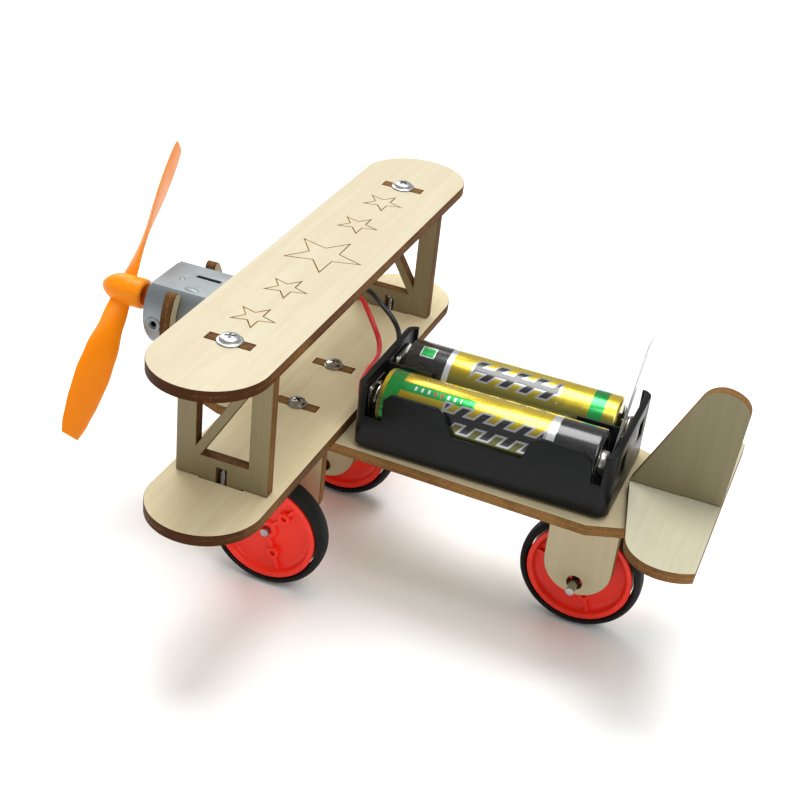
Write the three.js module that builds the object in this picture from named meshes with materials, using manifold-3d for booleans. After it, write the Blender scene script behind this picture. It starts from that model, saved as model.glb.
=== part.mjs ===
// A laser-cut plywood biplane that taxies on three wheels, pushed by a small motor and a two-blade
// propeller, with two AA cells behind the wings.
// Millimetres, +X towards the propeller, +Y to port, +Z up, the wheels standing on z = 0.
import * as THREE from "three";
import { mergeVertices } from "three/addons/utils/BufferGeometryUtils.js";
import Module from "manifold-3d";

const wasm = await Module();
wasm.setup();

// ---------- driving dimensions ----------
const PLY = 2.5; // plywood thickness
const FIT = 0.12; // gap round a tab in its slot
const GAP = 0.2; // gap between faces that rest on each other
const STEEL_R = 1.0; // axles and motor shaft
const SCREW_R = 0.95;
const NOTCH = 2.3; // width of the notches that the screws bite into

// Wheels and heights, from the ground up
const WHEEL = { r: 14.25, rim: 12.5, half: 2.7, segments: 32 };
const AXLE_Z = WHEEL.r;
const BOARD_BOTTOM = 36.2;
const BOARD_TOP = BOARD_BOTTOM + PLY;
const LOWER_BOTTOM = BOARD_TOP + GAP;
const LOWER_TOP = LOWER_BOTTOM + PLY;
const WING_SPACE = 30.3; // clear height between the wings
const UPPER_BOTTOM = LOWER_TOP + WING_SPACE;
const UPPER_TOP = UPPER_BOTTOM + PLY;

// Stations along X, measured from the wings' mid-chord
const NOSE_X = 36; // front end of the fuselage board
const SPINNER_X = 56.4;
const TAIL_X = -96.2; // rear end of the fin
const REAR_AXLE_X = -68.4;
const CENTRE_X = (SPINNER_X + TAIL_X) / 2;

const WING = { span: 130, chord: 25 };
const STRUT = { y: 45, half: 10.5, post: 4.5, foot: 5.4, head: 4.4, brace: 2, slot: 10 };
const STARS = { big: 9.2, small: 5.1, ys: [18.7, 33.6], line: 0.35, depth: 0.5, x: 0.6 };
const BOARD = { front: 15.6, rear: 18.4, corner: 17, end: -89 };
const FIN = { front: -75, rear: -95, tabX: -82.5, slot: 8 };
const BRACKET = { half: 7.8, drop: 3.1, hole: 1.75, tab: 9.8, frontY: 10, rearY: 4.75 };
const FRONT_WHEEL_Y = 20.75;
const FRONT_AXLE_HALF = 23.7;
const REAR_AXLE_HALF = 9.8;

// 130-size motor
const MOTOR = { z: 51.9, front: 40, length: 25, r: 10.05, half: 7.55, wall: 0.7, cap: 5.2 };
const CRADLE = { x: 31.2, arm: 2.9, base: 7.5, tab: 8 };

// Propeller
const PROP = { r: 37.3, x: 50.4, pitch: 45, back: 44.9, angle: -48.5, blade: 1.1 };

// Two-cell battery holder
const BOX = {
  front: -15.8,
  rear: -73.8,
  half: 15.7,
  wall: 1.4,
  side: 0.8,
  floor: 0.9,
  pad: 1.0,
  height: 14.8,
  corner: 2.5,
  lobeLeft: 54.1, // tops of the side walls' raised ends
  lobeRight: 51.1,
};
const BOX_FLOOR = BOARD_TOP + BOX.pad + BOX.floor;
const BOX_TOP = BOARD_TOP + BOX.pad + BOX.height;
const CELL = { r: 7.1, body: 49.2, nub: 1.3, nubR: 2.7, y: 7.6 };
const CELL_Z = BOX_FLOOR + 0.25 + CELL.r;
const CELL_FRONT = { left: -20.1, right: -19.6 }; // front end of each cell's can
const CONTACT = 0.4; // contact sheet thickness

const COLOUR = {
  ply: 0xdccba3,
  steel: 0xb9bcc0,
  zinc: 0xd4d6d8,
  tin: 0xc9c4b4,
  motorCan: 0xa9aeb3,
  motorCap: 0xe9e6dc,
  copper: 0xb87333,
  magnet: 0x3a3a3c,
  prop: 0xff8a1c,
  hub: 0xe23b2e,
  tyre: 0x1f2022,
  box: 0x1c1d1f,
  cell: 0xd9c21f,
  clear: 0xdfe5e8,
  pad: 0x2c2c2c,
  red: 0xd03326,
  black: 0x222222,
};

// ---------- solids ----------
function solid(geometry) {
  const g = geometry.index ? geometry.toNonIndexed() : geometry.clone();
  g.deleteAttribute("normal");
  g.deleteAttribute("uv");
  const merged = mergeVertices(g, 1e-4);
  return new wasm.Manifold(
    new wasm.Mesh({
      numProp: 3,
      vertProperties: merged.attributes.position.array,
      triVerts: new Uint32Array(merged.index.array),
    }),
  );
}

function geometryOf(manifold) {
  const mesh = manifold.getMesh();
  return new THREE.BufferGeometry()
    .setAttribute("position", new THREE.BufferAttribute(mesh.vertProperties, 3))
    .setIndex(new THREE.BufferAttribute(mesh.triVerts, 1));
}

function cutAll(body, tools) {
  return tools.reduce((left, tool) => left.subtract(tool), body);
}

function joinAll(solids) {
  return solids.reduce((all, one) => all.add(one));
}

function extruded(shape, depth, curveSegments = 16) {
  return new THREE.ExtrudeGeometry(shape, { depth, bevelEnabled: false, curveSegments });
}

// A plate lying flat, its shape in (x, y), from height z upwards.
function flatPlate(shape, z, thickness = PLY, segments = 16) {
  return solid(extruded(shape, thickness, segments).translate(0, 0, z));
}

// A plate standing lengthwise, its shape in (x, z), centred on y.
function sidePlate(shape, y, thickness = PLY, segments = 16) {
  return solid(
    extruded(shape, thickness, segments)
      .rotateX(Math.PI / 2)
      .translate(0, y + thickness / 2, 0),
  );
}

const CROSSWISE = new THREE.Matrix4().makeBasis(
  new THREE.Vector3(0, 1, 0),
  new THREE.Vector3(0, 0, 1),
  new THREE.Vector3(1, 0, 0),
);

// A plate standing across the model, its shape in (y, z), from station x forwards.
function crossPlate(shape, x, thickness = PLY, segments = 16) {
  return solid(extruded(shape, thickness, segments).applyMatrix4(CROSSWISE).translate(x, 0, 0));
}

function block(x0, x1, y0, y1, z0, z1) {
  return solid(
    new THREE.BoxGeometry(x1 - x0, y1 - y0, z1 - z0).translate(
      (x0 + x1) / 2,
      (y0 + y1) / 2,
      (z0 + z1) / 2,
    ),
  );
}

// A body of revolution; each profile point is [radius, distance along the axis].
function turned(points, segments) {
  const profile = points.map(([r, a]) => new THREE.Vector2(r, a));
  return new THREE.LatheGeometry(profile, segments);
}

const turnedAlongX = (points, segments = 24) =>
  solid(turned(points, segments).rotateZ(-Math.PI / 2));
const turnedAlongY = (points, segments = 24) => solid(turned(points, segments));
const turnedAlongZ = (points, segments = 24) =>
  solid(turned(points, segments).rotateX(Math.PI / 2));

function rodAlongX(x0, x1, r, y, z, segments = 16) {
  const points = [[0, x0], [r, x0], [r, x1], [0, x1]];
  return turnedAlongX(points, segments).translate([0, y, z]);
}

function rodAlongY(y0, y1, r, x, z, segments = 16) {
  const points = [[0, y0], [r, y0], [r, y1], [0, y1]];
  return turnedAlongY(points, segments).translate([x, 0, z]);
}

// A tube of round section along a smooth curve.
function tube(points, radius, steps, sides = 8) {
  const section = new THREE.Shape();
  for (let i = 0; i < sides; i++) {
    const a = (i / sides) * 2 * Math.PI;
    section[i ? "lineTo" : "moveTo"](radius * Math.cos(a), radius * Math.sin(a));
  }
  section.closePath();
  const curve = new THREE.CatmullRomCurve3(points.map((p) => new THREE.Vector3(...p)));
  return solid(
    new THREE.ExtrudeGeometry(section, { steps, bevelEnabled: false, extrudePath: curve }),
  );
}

// ---------- outlines ----------
function polygon(points) {
  const shape = new THREE.Shape();
  points.forEach(([u, v], i) => shape[i ? "lineTo" : "moveTo"](u, v));
  shape.closePath();
  return shape;
}

function rectangle(u0, u1, v0, v1) {
  return polygon([[u0, v0], [u1, v0], [u1, v1], [u0, v1]]);
}

function wingOutline() {
  const r = WING.chord / 2;
  const straight = WING.span / 2 - r;
  const shape = new THREE.Shape();
  shape.moveTo(r, -straight);
  shape.lineTo(r, straight);
  shape.absarc(0, straight, r, 0, Math.PI, false);
  shape.lineTo(-r, -straight);
  shape.absarc(0, -straight, r, Math.PI, 2 * Math.PI, false);
  return shape;
}

// The slot that takes a plate's tab, lengthwise at y, cut right through heights z0 to z1.
function tabSlot(x, y, length, z0, z1) {
  const half = length / 2;
  return block(x - half, x + half, y - PLY / 2 - FIT, y + PLY / 2 + FIT, z0 - 1, z1 + 1);
}

function starPoints(radius) {
  const inner = 0.4;
  return Array.from({ length: 10 }, (_, i) => {
    const r = i % 2 ? radius * inner : radius;
    const a = Math.PI + (i * Math.PI) / 5;
    return [r * Math.cos(a), r * Math.sin(a)];
  });
}

// The laser's line round a star, as a shallow groove in the upper wing's top.
function starGroove(radius, y) {
  const outer = flatPlate(polygon(starPoints(radius)), UPPER_TOP - STARS.depth, 1);
  const island = flatPlate(polygon(starPoints(radius - 2.6 * STARS.line)), UPPER_TOP - 1, 2);
  return outer.subtract(island).translate([STARS.x, y, 0]);
}

// ---------- wings, struts and fuselage ----------
function upperWing() {
  const slots = [1, -1].map((side) =>
    tabSlot(0, side * STRUT.y, STRUT.slot, UPPER_BOTTOM, UPPER_TOP),
  );
  const stars = [starGroove(STARS.big, 0)];
  for (const side of [1, -1])
    for (const y of STARS.ys) stars.push(starGroove(STARS.small, side * y));
  return cutAll(flatPlate(wingOutline(), UPPER_BOTTOM), [...slots, ...stars]);
}

function lowerWing() {
  const cuts = [];
  for (const side of [1, -1]) {
    cuts.push(tabSlot(0, side * STRUT.y, STRUT.slot, LOWER_BOTTOM, LOWER_TOP));
    cuts.push(tabSlot(0, side * BRACKET.frontY, STRUT.slot, LOWER_BOTTOM, LOWER_TOP));
  }
  return cutAll(flatPlate(wingOutline(), LOWER_BOTTOM), cuts);
}

// One N-braced strut. slant is +1 where the brace runs from the front foot to the rear head.
function strut(y, slant) {
  const z0 = LOWER_TOP + GAP;
  const z1 = UPPER_BOTTOM - GAP;
  const tab = STRUT.slot / 2 - FIT;
  const plate = sidePlate(rectangle(-STRUT.half, STRUT.half, z0, z1), y);
  const tabs = sidePlate(rectangle(-tab, tab, LOWER_BOTTOM, UPPER_TOP), y);
  const half = STRUT.half - STRUT.post;
  const low = z0 + STRUT.foot;
  const high = z1 - STRUT.head;
  const length = Math.hypot(2 * half, high - low);
  const across = ((STRUT.brace / 2) * length) / (high - low);
  const up = ((STRUT.brace / 2) * length) / (2 * half);
  const window = sidePlate(rectangle(-half, half, low, high), y, 2 * PLY);
  const brace = sidePlate(
    polygon([
      [slant * (half + across), low - 0.01],
      [slant * half, low + up],
      [slant * (-half + across), high + 0.01],
      [slant * (-half - across), high + 0.01],
      [slant * -half, high - up],
      [slant * (half - across), low - 0.01],
    ]),
    y,
    3 * PLY,
  );
  const n = NOTCH / 2;
  const footNotch = block(-n, n, y - PLY, y + PLY, LOWER_BOTTOM - 1, z0 + 3.4);
  const headNotch = block(-n, n, y - PLY, y + PLY, z1 - 2.9, UPPER_TOP + 1);
  return cutAll(plate.add(tabs), [window.subtract(brace), footNotch, headNotch]);
}

function boardOutline() {
  const { front, rear, corner, end } = BOARD;
  const noseHalf = 9;
  const rearCorner = -70.5;
  const endHalf = 11;
  const side = [
    [NOSE_X, noseHalf - 3],
    [NOSE_X - 3, noseHalf],
    [corner, front],
    [rearCorner, rear],
    [end, endHalf],
  ];
  const mirrored = side.map(([x, y]) => [x, -y]).reverse();
  return polygon([...mirrored, ...side]);
}

function fuselageBoard() {
  const cuts = [];
  for (const side of [1, -1]) {
    const front = tabSlot(0, side * BRACKET.frontY, STRUT.slot, BOARD_BOTTOM, BOARD_TOP);
    const rear = tabSlot(REAR_AXLE_X, side * BRACKET.rearY, STRUT.slot, BOARD_BOTTOM, BOARD_TOP);
    cuts.push(front, rear);
  }
  const half = CRADLE.tab / 2 + FIT;
  const x = CRADLE.x - FIT;
  cuts.push(block(x, x + PLY + 2 * FIT, -half, half, BOARD_BOTTOM - 1, BOARD_TOP + 1));
  cuts.push(tabSlot(FIN.tabX, 0, FIN.slot, BOARD_BOTTOM, BOARD_TOP));
  return cutAll(flatPlate(boardOutline(), BOARD_BOTTOM), cuts);
}

// ---------- tail ----------
const TAIL_BOTTOM = BOARD_TOP + GAP;
const TAIL_TOP = TAIL_BOTTOM + PLY;

function stabilizer() {
  const half = 29.2;
  const shape = new THREE.Shape();
  shape.moveTo(-74.8, 0);
  shape.lineTo(-79.4, 22);
  shape.bezierCurveTo(-80.4, 26.4, -84, half, -88.5, half);
  shape.quadraticCurveTo(-92.5, half - 0.2, FIN.rear, 27);
  shape.lineTo(FIN.rear, -27);
  shape.quadraticCurveTo(-92.5, -half + 0.2, -88.5, -half);
  shape.bezierCurveTo(-84, -half, -80.4, -26.4, -79.4, -22);
  shape.closePath();
  const slot = tabSlot(FIN.tabX, 0, FIN.slot, TAIL_BOTTOM, TAIL_TOP);
  return flatPlate(shape, TAIL_BOTTOM).subtract(slot);
}

function tailFin() {
  const base = TAIL_TOP + GAP;
  const top = 68.3;
  const shape = new THREE.Shape();
  shape.moveTo(FIN.front, base);
  shape.lineTo(-85.6, top - 3.6);
  shape.quadraticCurveTo(-86.9, top - 0.4, -90.3, top);
  shape.bezierCurveTo(-93.6, top, -96.6, top - 1.8, TAIL_X, top - 5);
  shape.lineTo(FIN.rear, base);
  shape.closePath();
  const half = FIN.slot / 2 - FIT;
  const tab = rectangle(FIN.tabX - half, FIN.tabX + half, BOARD_BOTTOM, base + 1);
  return sidePlate(shape, 0).add(sidePlate(tab, 0));
}

// ---------- landing gear ----------
// A bracket hangs from the board; its tab comes up through every layer to the height tabTop.
function bracket(x, y, tabTop, notched) {
  const { half, drop, hole, tab } = BRACKET;
  const shoulder = BOARD_BOTTOM - GAP;
  const centre = AXLE_Z - drop + half;
  const shape = new THREE.Shape();
  shape.moveTo(x + half, shoulder);
  shape.lineTo(x - half, shoulder);
  shape.lineTo(x - half, centre);
  shape.absarc(x, centre, half, Math.PI, 2 * Math.PI, false);
  shape.closePath();
  const bore = new THREE.Path();
  bore.absarc(x, AXLE_Z, hole, 0, 2 * Math.PI, true);
  shape.holes.push(bore);
  const prong = rectangle(x - tab / 2 + FIT, x + tab / 2 - FIT, shoulder - 1, tabTop);
  const body = sidePlate(shape, y, PLY, 14).add(sidePlate(prong, y));
  if (!notched) return body;
  const n = NOTCH / 2;
  return body.subtract(block(x - n, x + n, y - PLY, y + PLY, shoulder - 3, tabTop + 1));
}

function steelAxle(x, half) {
  const e = 0.25;
  const points = [[0, -half], [STEEL_R - e, -half], [STEEL_R, -half + e]];
  points.push([STEEL_R, half - e], [STEEL_R - e, half], [0, half]);
  return turnedAlongY(points, 16).translate([x, 0, AXLE_Z]);
}

// A dished hub with three webs and three pegs on its outer side, which faces +Y before it's turned.
function wheelHub(x, y, outward, sleeve) {
  const { rim, half, segments } = WHEEL;
  const web = 0.4;
  const bore = STEEL_R + 0.02;
  const profile = [
    [bore, -sleeve],
    [2.4, -sleeve],
    [2.4, -web],
    [10.6, -web],
    [10.9, -half + 0.3],
    [rim - 0.1, -half + 0.2],
    [rim - 0.5, 0],
    [rim - 0.1, half - 0.2],
    [10.9, half - 0.1],
    [10.5, web + 0.2],
    [2.6, web + 0.2],
    [2.3, half - 0.9],
    [bore, half - 0.9],
    [bore, -sleeve],
  ];
  const pieces = [turnedAlongY(profile, segments)];
  for (let i = 0; i < 3; i++) {
    const rib = block(2, 10.7, -0.4, 0.4, 0, 1.5).rotate([-90, 0, 0]);
    const peg = solid(turned([[0, 0], [1.5, 0], [1.4, 1.9], [0.7, 1.9], [0.7, 1.2], [0, 1.2]], 10));
    const arm = rib.add(peg.translate([6.1, 0, 0]));
    pieces.push(arm.rotate([0, 120 * i + 12, 0]));
  }
  const hub = joinAll(pieces);
  const faced = outward > 0 ? hub : hub.rotate([0, 0, 180]);
  return faced.translate([x, y, AXLE_Z]);
}

function tyre(x, y) {
  const { r, rim, half, segments } = WHEEL;
  const profile = [
    [rim + 0.12, half - 0.3],
    [rim - 0.28, 0],
    [rim + 0.12, -half + 0.3],
    [rim + 0.5, -half],
    [r - 0.9, -half],
    [r - 0.2, -half + 0.8],
    [r, -1],
    [r, 1],
    [r - 0.2, half - 0.8],
    [r - 0.9, half],
    [rim + 0.5, half],
    [rim + 0.12, half - 0.3],
  ];
  return turnedAlongY(profile, segments).translate([x, y, AXLE_Z]);
}

// ---------- motor ----------
// A round of radius r between two flats, in (y, z) about the motor's axis.
function motorSection(r, half) {
  const a = Math.asin(half / r);
  const shape = new THREE.Shape();
  shape.absarc(0, 0, r, -a, a, false);
  shape.absarc(0, 0, r, Math.PI - a, Math.PI + a, false);
  shape.closePath();
  return shape;
}

const MOTOR_REAR = MOTOR.front - MOTOR.length;
const CAP_SEAM = MOTOR_REAR + MOTOR.cap;

// The can is open at the rear, where the plastic end cap closes it.
function motorCan() {
  const { r, half, wall, front, z } = MOTOR;
  const lip = 0.7;
  const start = CAP_SEAM + GAP;
  const skin = crossPlate(motorSection(r, half), start, front - lip - start);
  const nose = crossPlate(motorSection(r - 0.5, half - 0.5), front - lip - 0.1, lip + 0.1);
  const boss = rodAlongX(front - 0.1, front + 1.6, 3, 0, 0, 20);
  const inside = crossPlate(
    motorSection(r - wall, half - wall),
    CAP_SEAM - 1,
    front - wall - CAP_SEAM + 1,
  );
  const bore = rodAlongX(front - 3, front + 3, STEEL_R + 0.06, 0, 0);
  const topVent = block(26.2, 32.4, -2.4, -1.2, half - 2, half + 1);
  const sideHoles = rodAlongY(-r - 1, r + 1, 0.8, 37, -1, 12);
  const can = cutAll(joinAll([skin, nose, boss]), [inside, bore, topVent, sideHoles]);
  return can.translate([0, 0, z]);
}

function motorEndCap() {
  const { r, half, z } = MOTOR;
  const body = crossPlate(motorSection(r - 0.2, half - 0.2), MOTOR_REAR, MOTOR.cap);
  const bush = rodAlongX(MOTOR_REAR - 1.4, MOTOR_REAR + 0.1, 2.4, 0, 0, 20);
  const hollow = rodAlongX(MOTOR_REAR + 1.6, CAP_SEAM + 1, 4.6, 0, 0, 24);
  const bore = rodAlongX(MOTOR_REAR + 0.2, CAP_SEAM, STEEL_R + 0.06, 0, 0);
  return cutAll(body.add(bush), [hollow, bore]).translate([0, 0, z]);
}

function motorTerminal(side) {
  const x = MOTOR_REAR - GAP;
  const y = side * 6.3;
  const tag = block(x - 3, x, y - 0.2, y + 0.2, MOTOR.z - 1.1, MOTOR.z + 1.1);
  return tag.subtract(rodAlongY(y - 1, y + 1, 0.5, x - 1.9, MOTOR.z, 10));
}

// A curved magnet against the can's round side.
function magnet(side) {
  const ring = rodAlongX(22.6, 34.6, 9.05, 0, 0, 40).subtract(rodAlongX(22, 35, 6.9, 0, 0, 40));
  const keep = side > 0 ? block(20, 36, 3, 11, -5.2, 5.2) : block(20, 36, -11, -3, -5.2, 5.2);
  return ring.intersect(keep).translate([0, 0, MOTOR.z]);
}

// The three-pole iron core with its slots, on the shaft.
function armature() {
  const bore = rodAlongX(20, 40, STEEL_R + 0.03, 0, 0);
  const core = rodAlongX(23.4, 33.8, 6.1, 0, 0, 36).subtract(bore);
  const slots = [0, 120, 240].map((a) =>
    block(23, 34.2, -0.9, 0.9, 2.6, 7).rotate([a, 0, 0]),
  );
  return cutAll(core, slots).translate([0, 0, MOTOR.z]);
}

function commutator() {
  const sleeve = rodAlongX(17.4, 22.2, 2, 0, 0, 24);
  return sleeve.subtract(rodAlongX(17, 23, STEEL_R + 0.03, 0, 0)).translate([0, 0, MOTOR.z]);
}

const motorShaft = () => rodAlongX(MOTOR_REAR + 0.5, PROP.x + 1, STEEL_R, 0, MOTOR.z);

// A U of plywood across the nose whose arms curl round the motor's sides.
function motorCradle() {
  const { x, arm, base, tab } = CRADLE;
  const hug = 0.2;
  const outer = MOTOR.r + arm;
  const ring = rodAlongX(x, x + PLY, outer, 0, 0, 56);
  const foot = block(x, x + PLY, -base, base, BOARD_TOP + GAP - MOTOR.z, -MOTOR.half);
  const seat = crossPlate(
    motorSection(MOTOR.r + hug, MOTOR.half + hug),
    x - 1,
    PLY + 2,
    24,
  );
  const open = (35 * Math.PI) / 180; // the arms end this far above the motor's middle
  const mouth = crossPlate(
    polygon([
      [0, 0],
      [30 * Math.cos(open), 30 * Math.sin(open)],
      [0, 40],
      [-30 * Math.cos(open), 30 * Math.sin(open)],
    ]),
    x - 1,
    PLY + 2,
  );
  const capR = (arm - hug) / 2;
  const capAt = MOTOR.r + hug + capR;
  const caps = [1, -1].map((side) =>
    rodAlongX(x, x + PLY, capR, side * capAt * Math.cos(open), capAt * Math.sin(open), 20),
  );
  const body = cutAll(ring.add(foot), [mouth]).add(joinAll(caps)).subtract(seat);
  const pin = block(x, x + PLY, -tab / 2, tab / 2, BOARD_BOTTOM - MOTOR.z, -outer + 1);
  return body.add(pin).translate([0, 0, MOTOR.z]);
}

// ---------- propeller ----------
// Blade chord against radius, eased between stations.
const CHORD = [[2, 4.6], [9, 6.3], [16, 9.9], [22, 11.6], [28, 11.2], [33, 9.6], [37.3, 7.6]];

function chordAt(r) {
  const i = Math.max(1, CHORD.findIndex(([station]) => station >= r));
  const [r0, c0] = CHORD[i - 1];
  const [r1, c1] = CHORD[i];
  return THREE.MathUtils.lerp(c0, c1, (r - r0) / (r1 - r0));
}

// One blade along +Y, twisted to a constant pitch, from a bent block.
function blade() {
  const root = CHORD[0][0];
  const box = new THREE.BoxGeometry(1, 1, 1, 4, 14, 1);
  const at = box.attributes.position;
  for (let i = 0; i < at.count; i++) {
    const u = at.getX(i);
    const r = root + (at.getY(i) + 0.5) * (PROP.r - root);
    const twist = Math.atan2(PROP.pitch, 2 * Math.PI * r);
    const tipRound = r > 33 ? 1 - 0.16 * ((r - 33) / (PROP.r - 33)) ** 2 : 1;
    const along = u * chordAt(r) * tipRound;
    const thick = PROP.blade * (1.5 - r / PROP.r) * (1 - 2.6 * u * u) + 0.12;
    const up = at.getZ(i) * thick;
    at.setXYZ(
      i,
      along * Math.sin(twist) - up * Math.cos(twist),
      r,
      along * Math.cos(twist) + up * Math.sin(twist),
    );
  }
  return solid(box);
}

function propeller() {
  const rim = 3.6;
  const profile = [
    [0, PROP.back],
    [rim - 0.3, PROP.back],
    [rim, PROP.back + 0.3],
    [rim, 51],
    [3.35, 52.8],
    [2.7, 54.4],
    [1.7, 55.6],
    [0.7, 56.25],
    [0, SPINNER_X],
  ];
  const hub = turnedAlongX(profile, 30);
  const bore = rodAlongX(PROP.back - 1, PROP.x + 1.5, STEEL_R + 0.03, 0, 0);
  const blades = [0, 180].map((turn) =>
    blade().rotate([PROP.angle + turn, 0, 0]).translate([PROP.x, 0, 0]),
  );
  return joinAll([hub, ...blades]).subtract(bore).translate([0, 0, MOTOR.z]);
}

// ---------- battery holder ----------
function roundedRectangle(x0, x1, half, r) {
  const shape = new THREE.Shape();
  shape.moveTo(x0 + r, -half);
  shape.lineTo(x1 - r, -half);
  shape.absarc(x1 - r, -half + r, r, -Math.PI / 2, 0, false);
  shape.absarc(x1 - r, half - r, r, 0, Math.PI / 2, false);
  shape.absarc(x0 + r, half - r, r, Math.PI / 2, Math.PI, false);
  shape.absarc(x0 + r, -half + r, r, Math.PI, 1.5 * Math.PI, false);
  return shape;
}

// What is cut from a side wall: a finger slot at each end and a long low middle.
function sideCutOut(side, lobe) {
  const high = BOX_TOP + 1;
  const inFront = BOX.front - BOX.wall - 1;
  const inRear = BOX.rear + BOX.wall + 1;
  const profile = [
    [inFront, high],
    [inFront, 46.9],
    [-22.2, 46.9],
    [-22.2, lobe - 1.8],
    [-23.9, lobe],
    [-34.6, lobe],
    [-36.2, lobe - 1.8],
    [-38.4, 48.2],
    [-53.8, 48.2],
    [-55.4, lobe - 1.8],
    [-57.2, lobe],
    [-66.6, lobe],
    [-68.6, lobe - 1.8],
    [-69.3, 46.9],
    [inRear, 46.9],
    [inRear, high],
  ];
  return sidePlate(polygon(profile), (side * (BOX.half + 1)) / 2, BOX.half + 1);
}

// The thin rib between the cells at one end of the box.
function divider(x0, x1) {
  return block(x0, x1, -0.25, 0.25, BOX_FLOOR - 0.1, CELL_Z + 4.8);
}

function batteryBox() {
  const { front, rear, half, wall, side, corner } = BOX;
  const bottom = BOARD_TOP + BOX.pad;
  const shell = flatPlate(roundedRectangle(rear, front, half, corner), bottom, BOX.height, 6);
  const room = flatPlate(
    roundedRectangle(rear + wall, front - wall, half - side, corner - 1),
    BOX_FLOOR,
    BOX.height,
    6,
  );
  const holes = [];
  for (const y of [CELL.y, -CELL.y]) {
    holes.push(rodAlongX(front - 3, front + 1, 1.15, y, LEAD_Z, 14));
    holes.push(block(rear - 1, rear + wall + 1, y - 2.2, y + 2.2, CELL_Z - 1.2, CELL_Z + 3.6));
  }
  const cutOuts = [sideCutOut(1, BOX.lobeLeft), sideCutOut(-1, BOX.lobeRight)];
  const walls = cutAll(shell, [room, ...cutOuts, ...holes]);
  const frontRib = divider(-27.5, front - wall + 0.1);
  const rearRib = divider(-70.6, -61);
  return joinAll([walls, frontRib, rearRib]);
}

// One cell; its nub points along +X when forwards is true.
function cell(y, front, forwards) {
  const { r, body, nub, nubR } = CELL;
  const profile = [
    [0, 0.25],
    [r - 1.6, 0.25],
    [r - 1.3, 0],
    [r - 0.5, 0],
    [r, 0.5],
    [r, body - 0.6],
    [r - 0.6, body],
    [nubR + 0.2, body - 0.1],
    [nubR, body + nub - 0.3],
    [nubR - 0.4, body + nub],
    [0, body + nub],
  ];
  const upright = turnedAlongX(profile, 36);
  const placed = forwards
    ? upright.translate([front - body, 0, 0])
    : upright.rotate([0, 0, 180]).translate([front, 0, 0]);
  return placed.translate([0, y, CELL_Z]);
}

const FRONT_SHEET = BOX.front - BOX.wall - 0.25; // front face of the two front contacts
const REAR_SHEET = BOX.rear + BOX.wall + 0.25; // rear face of the bridge

// A coned spring of round wire, from the sheet's face at x0 to its small end at x1.
function coneSpring(x0, x1, y) {
  const wire = 0.24;
  const turns = 2.4;
  const perTurn = 12;
  const points = [];
  for (let i = 0; i <= turns * perTurn; i++) {
    const share = i / (turns * perTurn);
    const a = (i / perTurn) * 2 * Math.PI;
    const r = THREE.MathUtils.lerp(3.6, 1.9, share);
    const x = THREE.MathUtils.lerp(x0, x1, share);
    points.push([x, y + r * Math.cos(a), CELL_Z + r * Math.sin(a)]);
  }
  return tube(points, wire, 58, 6);
}

// A contact sheet across the box from y0 to y1, its forward face at x.
function contactSheet(x, y0, y1) {
  const shape = new THREE.Shape();
  const z0 = BOX_FLOOR + 0.3;
  const z1 = CELL_Z + 4.2;
  const r = 1.2;
  shape.moveTo(y0, z0);
  shape.lineTo(y1, z0);
  shape.lineTo(y1, z1 - r);
  shape.absarc(y1 - r, z1 - r, r, 0, Math.PI / 2, false);
  shape.absarc(y0 + r, z1 - r, r, Math.PI / 2, Math.PI, false);
  shape.closePath();
  return crossPlate(shape, x - CONTACT, CONTACT, 5);
}

const frontContact = (y) => contactSheet(FRONT_SHEET, y - 4.6, y + 4.6);

// The bridge joins both cells at the rear, notched round the rib's end.
const rearContact = () => contactSheet(REAR_SHEET + CONTACT, -12.4, 12.4);

// The clear strip that keeps the port cell off its contact until it is drawn up and out.
function pullTab() {
  const thick = 0.2;
  const lean = 6; // degrees towards the tail
  const front = CELL_FRONT.left - CELL.body - CELL.nub - 0.2;
  const strip = block(-thick, 0, 4, 9.2, -3.2, 31.6);
  return strip.rotate([0, -lean, 0]).translate([front, 0, CELL_Z - 1.2]);
}

function foamPad() {
  const inset = 3;
  return block(
    BOX.rear + inset,
    BOX.front - inset,
    -BOX.half + inset,
    BOX.half - inset,
    BOARD_TOP + 0.1,
    BOARD_TOP + BOX.pad - 0.1,
  );
}

// ---------- leads ----------
const LEAD_R = 0.65;
const LEAD_Z = CELL_Z - 3;
const LEAD_END_X = FRONT_SHEET + 0.3;

// Each lead's route from its motor tag to its hole in the battery box's front wall.
const RED_ROUTE = [
  [11.2, 6.3, 51.9],
  [8.8, 6.0, 52.1],
  [4.6, 0.5, 55.4],
  [0.4, -9.6, 58.8],
  [-3, -14.2, 58.6],
  [-6, -12.4, 57.2],
  [-8.6, -10.8, 54.6],
  [-10.4, -10.3, 51.4],
  [-11.4, -8.6, 49.4],
  [-12.2, -4.4, 49.2],
  [-12.9, 1.4, 50.1],
  [-13.4, 5.8, 49.4],
  [-14, 7.3, 46.6],
  [-15.2, CELL.y, LEAD_Z + 0.15],
  [LEAD_END_X, CELL.y, LEAD_Z],
];
const BLACK_ROUTE = [
  [11.2, -6.3, 51.9],
  [8.8, -7.2, 52.1],
  [4.4, -12.4, 55.6],
  [0, -17.6, 58.2],
  [-3.4, -19.2, 58.2],
  [-7, -18.2, 56.4],
  [-10.4, -18, 53.6],
  [-12.6, -17.6, 50.2],
  [-13.6, -14.6, 46.6],
  [-14, -10.4, 44.6],
  [-15.2, -CELL.y - 0.4, LEAD_Z + 0.1],
  [LEAD_END_X, -CELL.y, LEAD_Z],
];

const lead = (route) => tube(route, LEAD_R, 44, 8);

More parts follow.
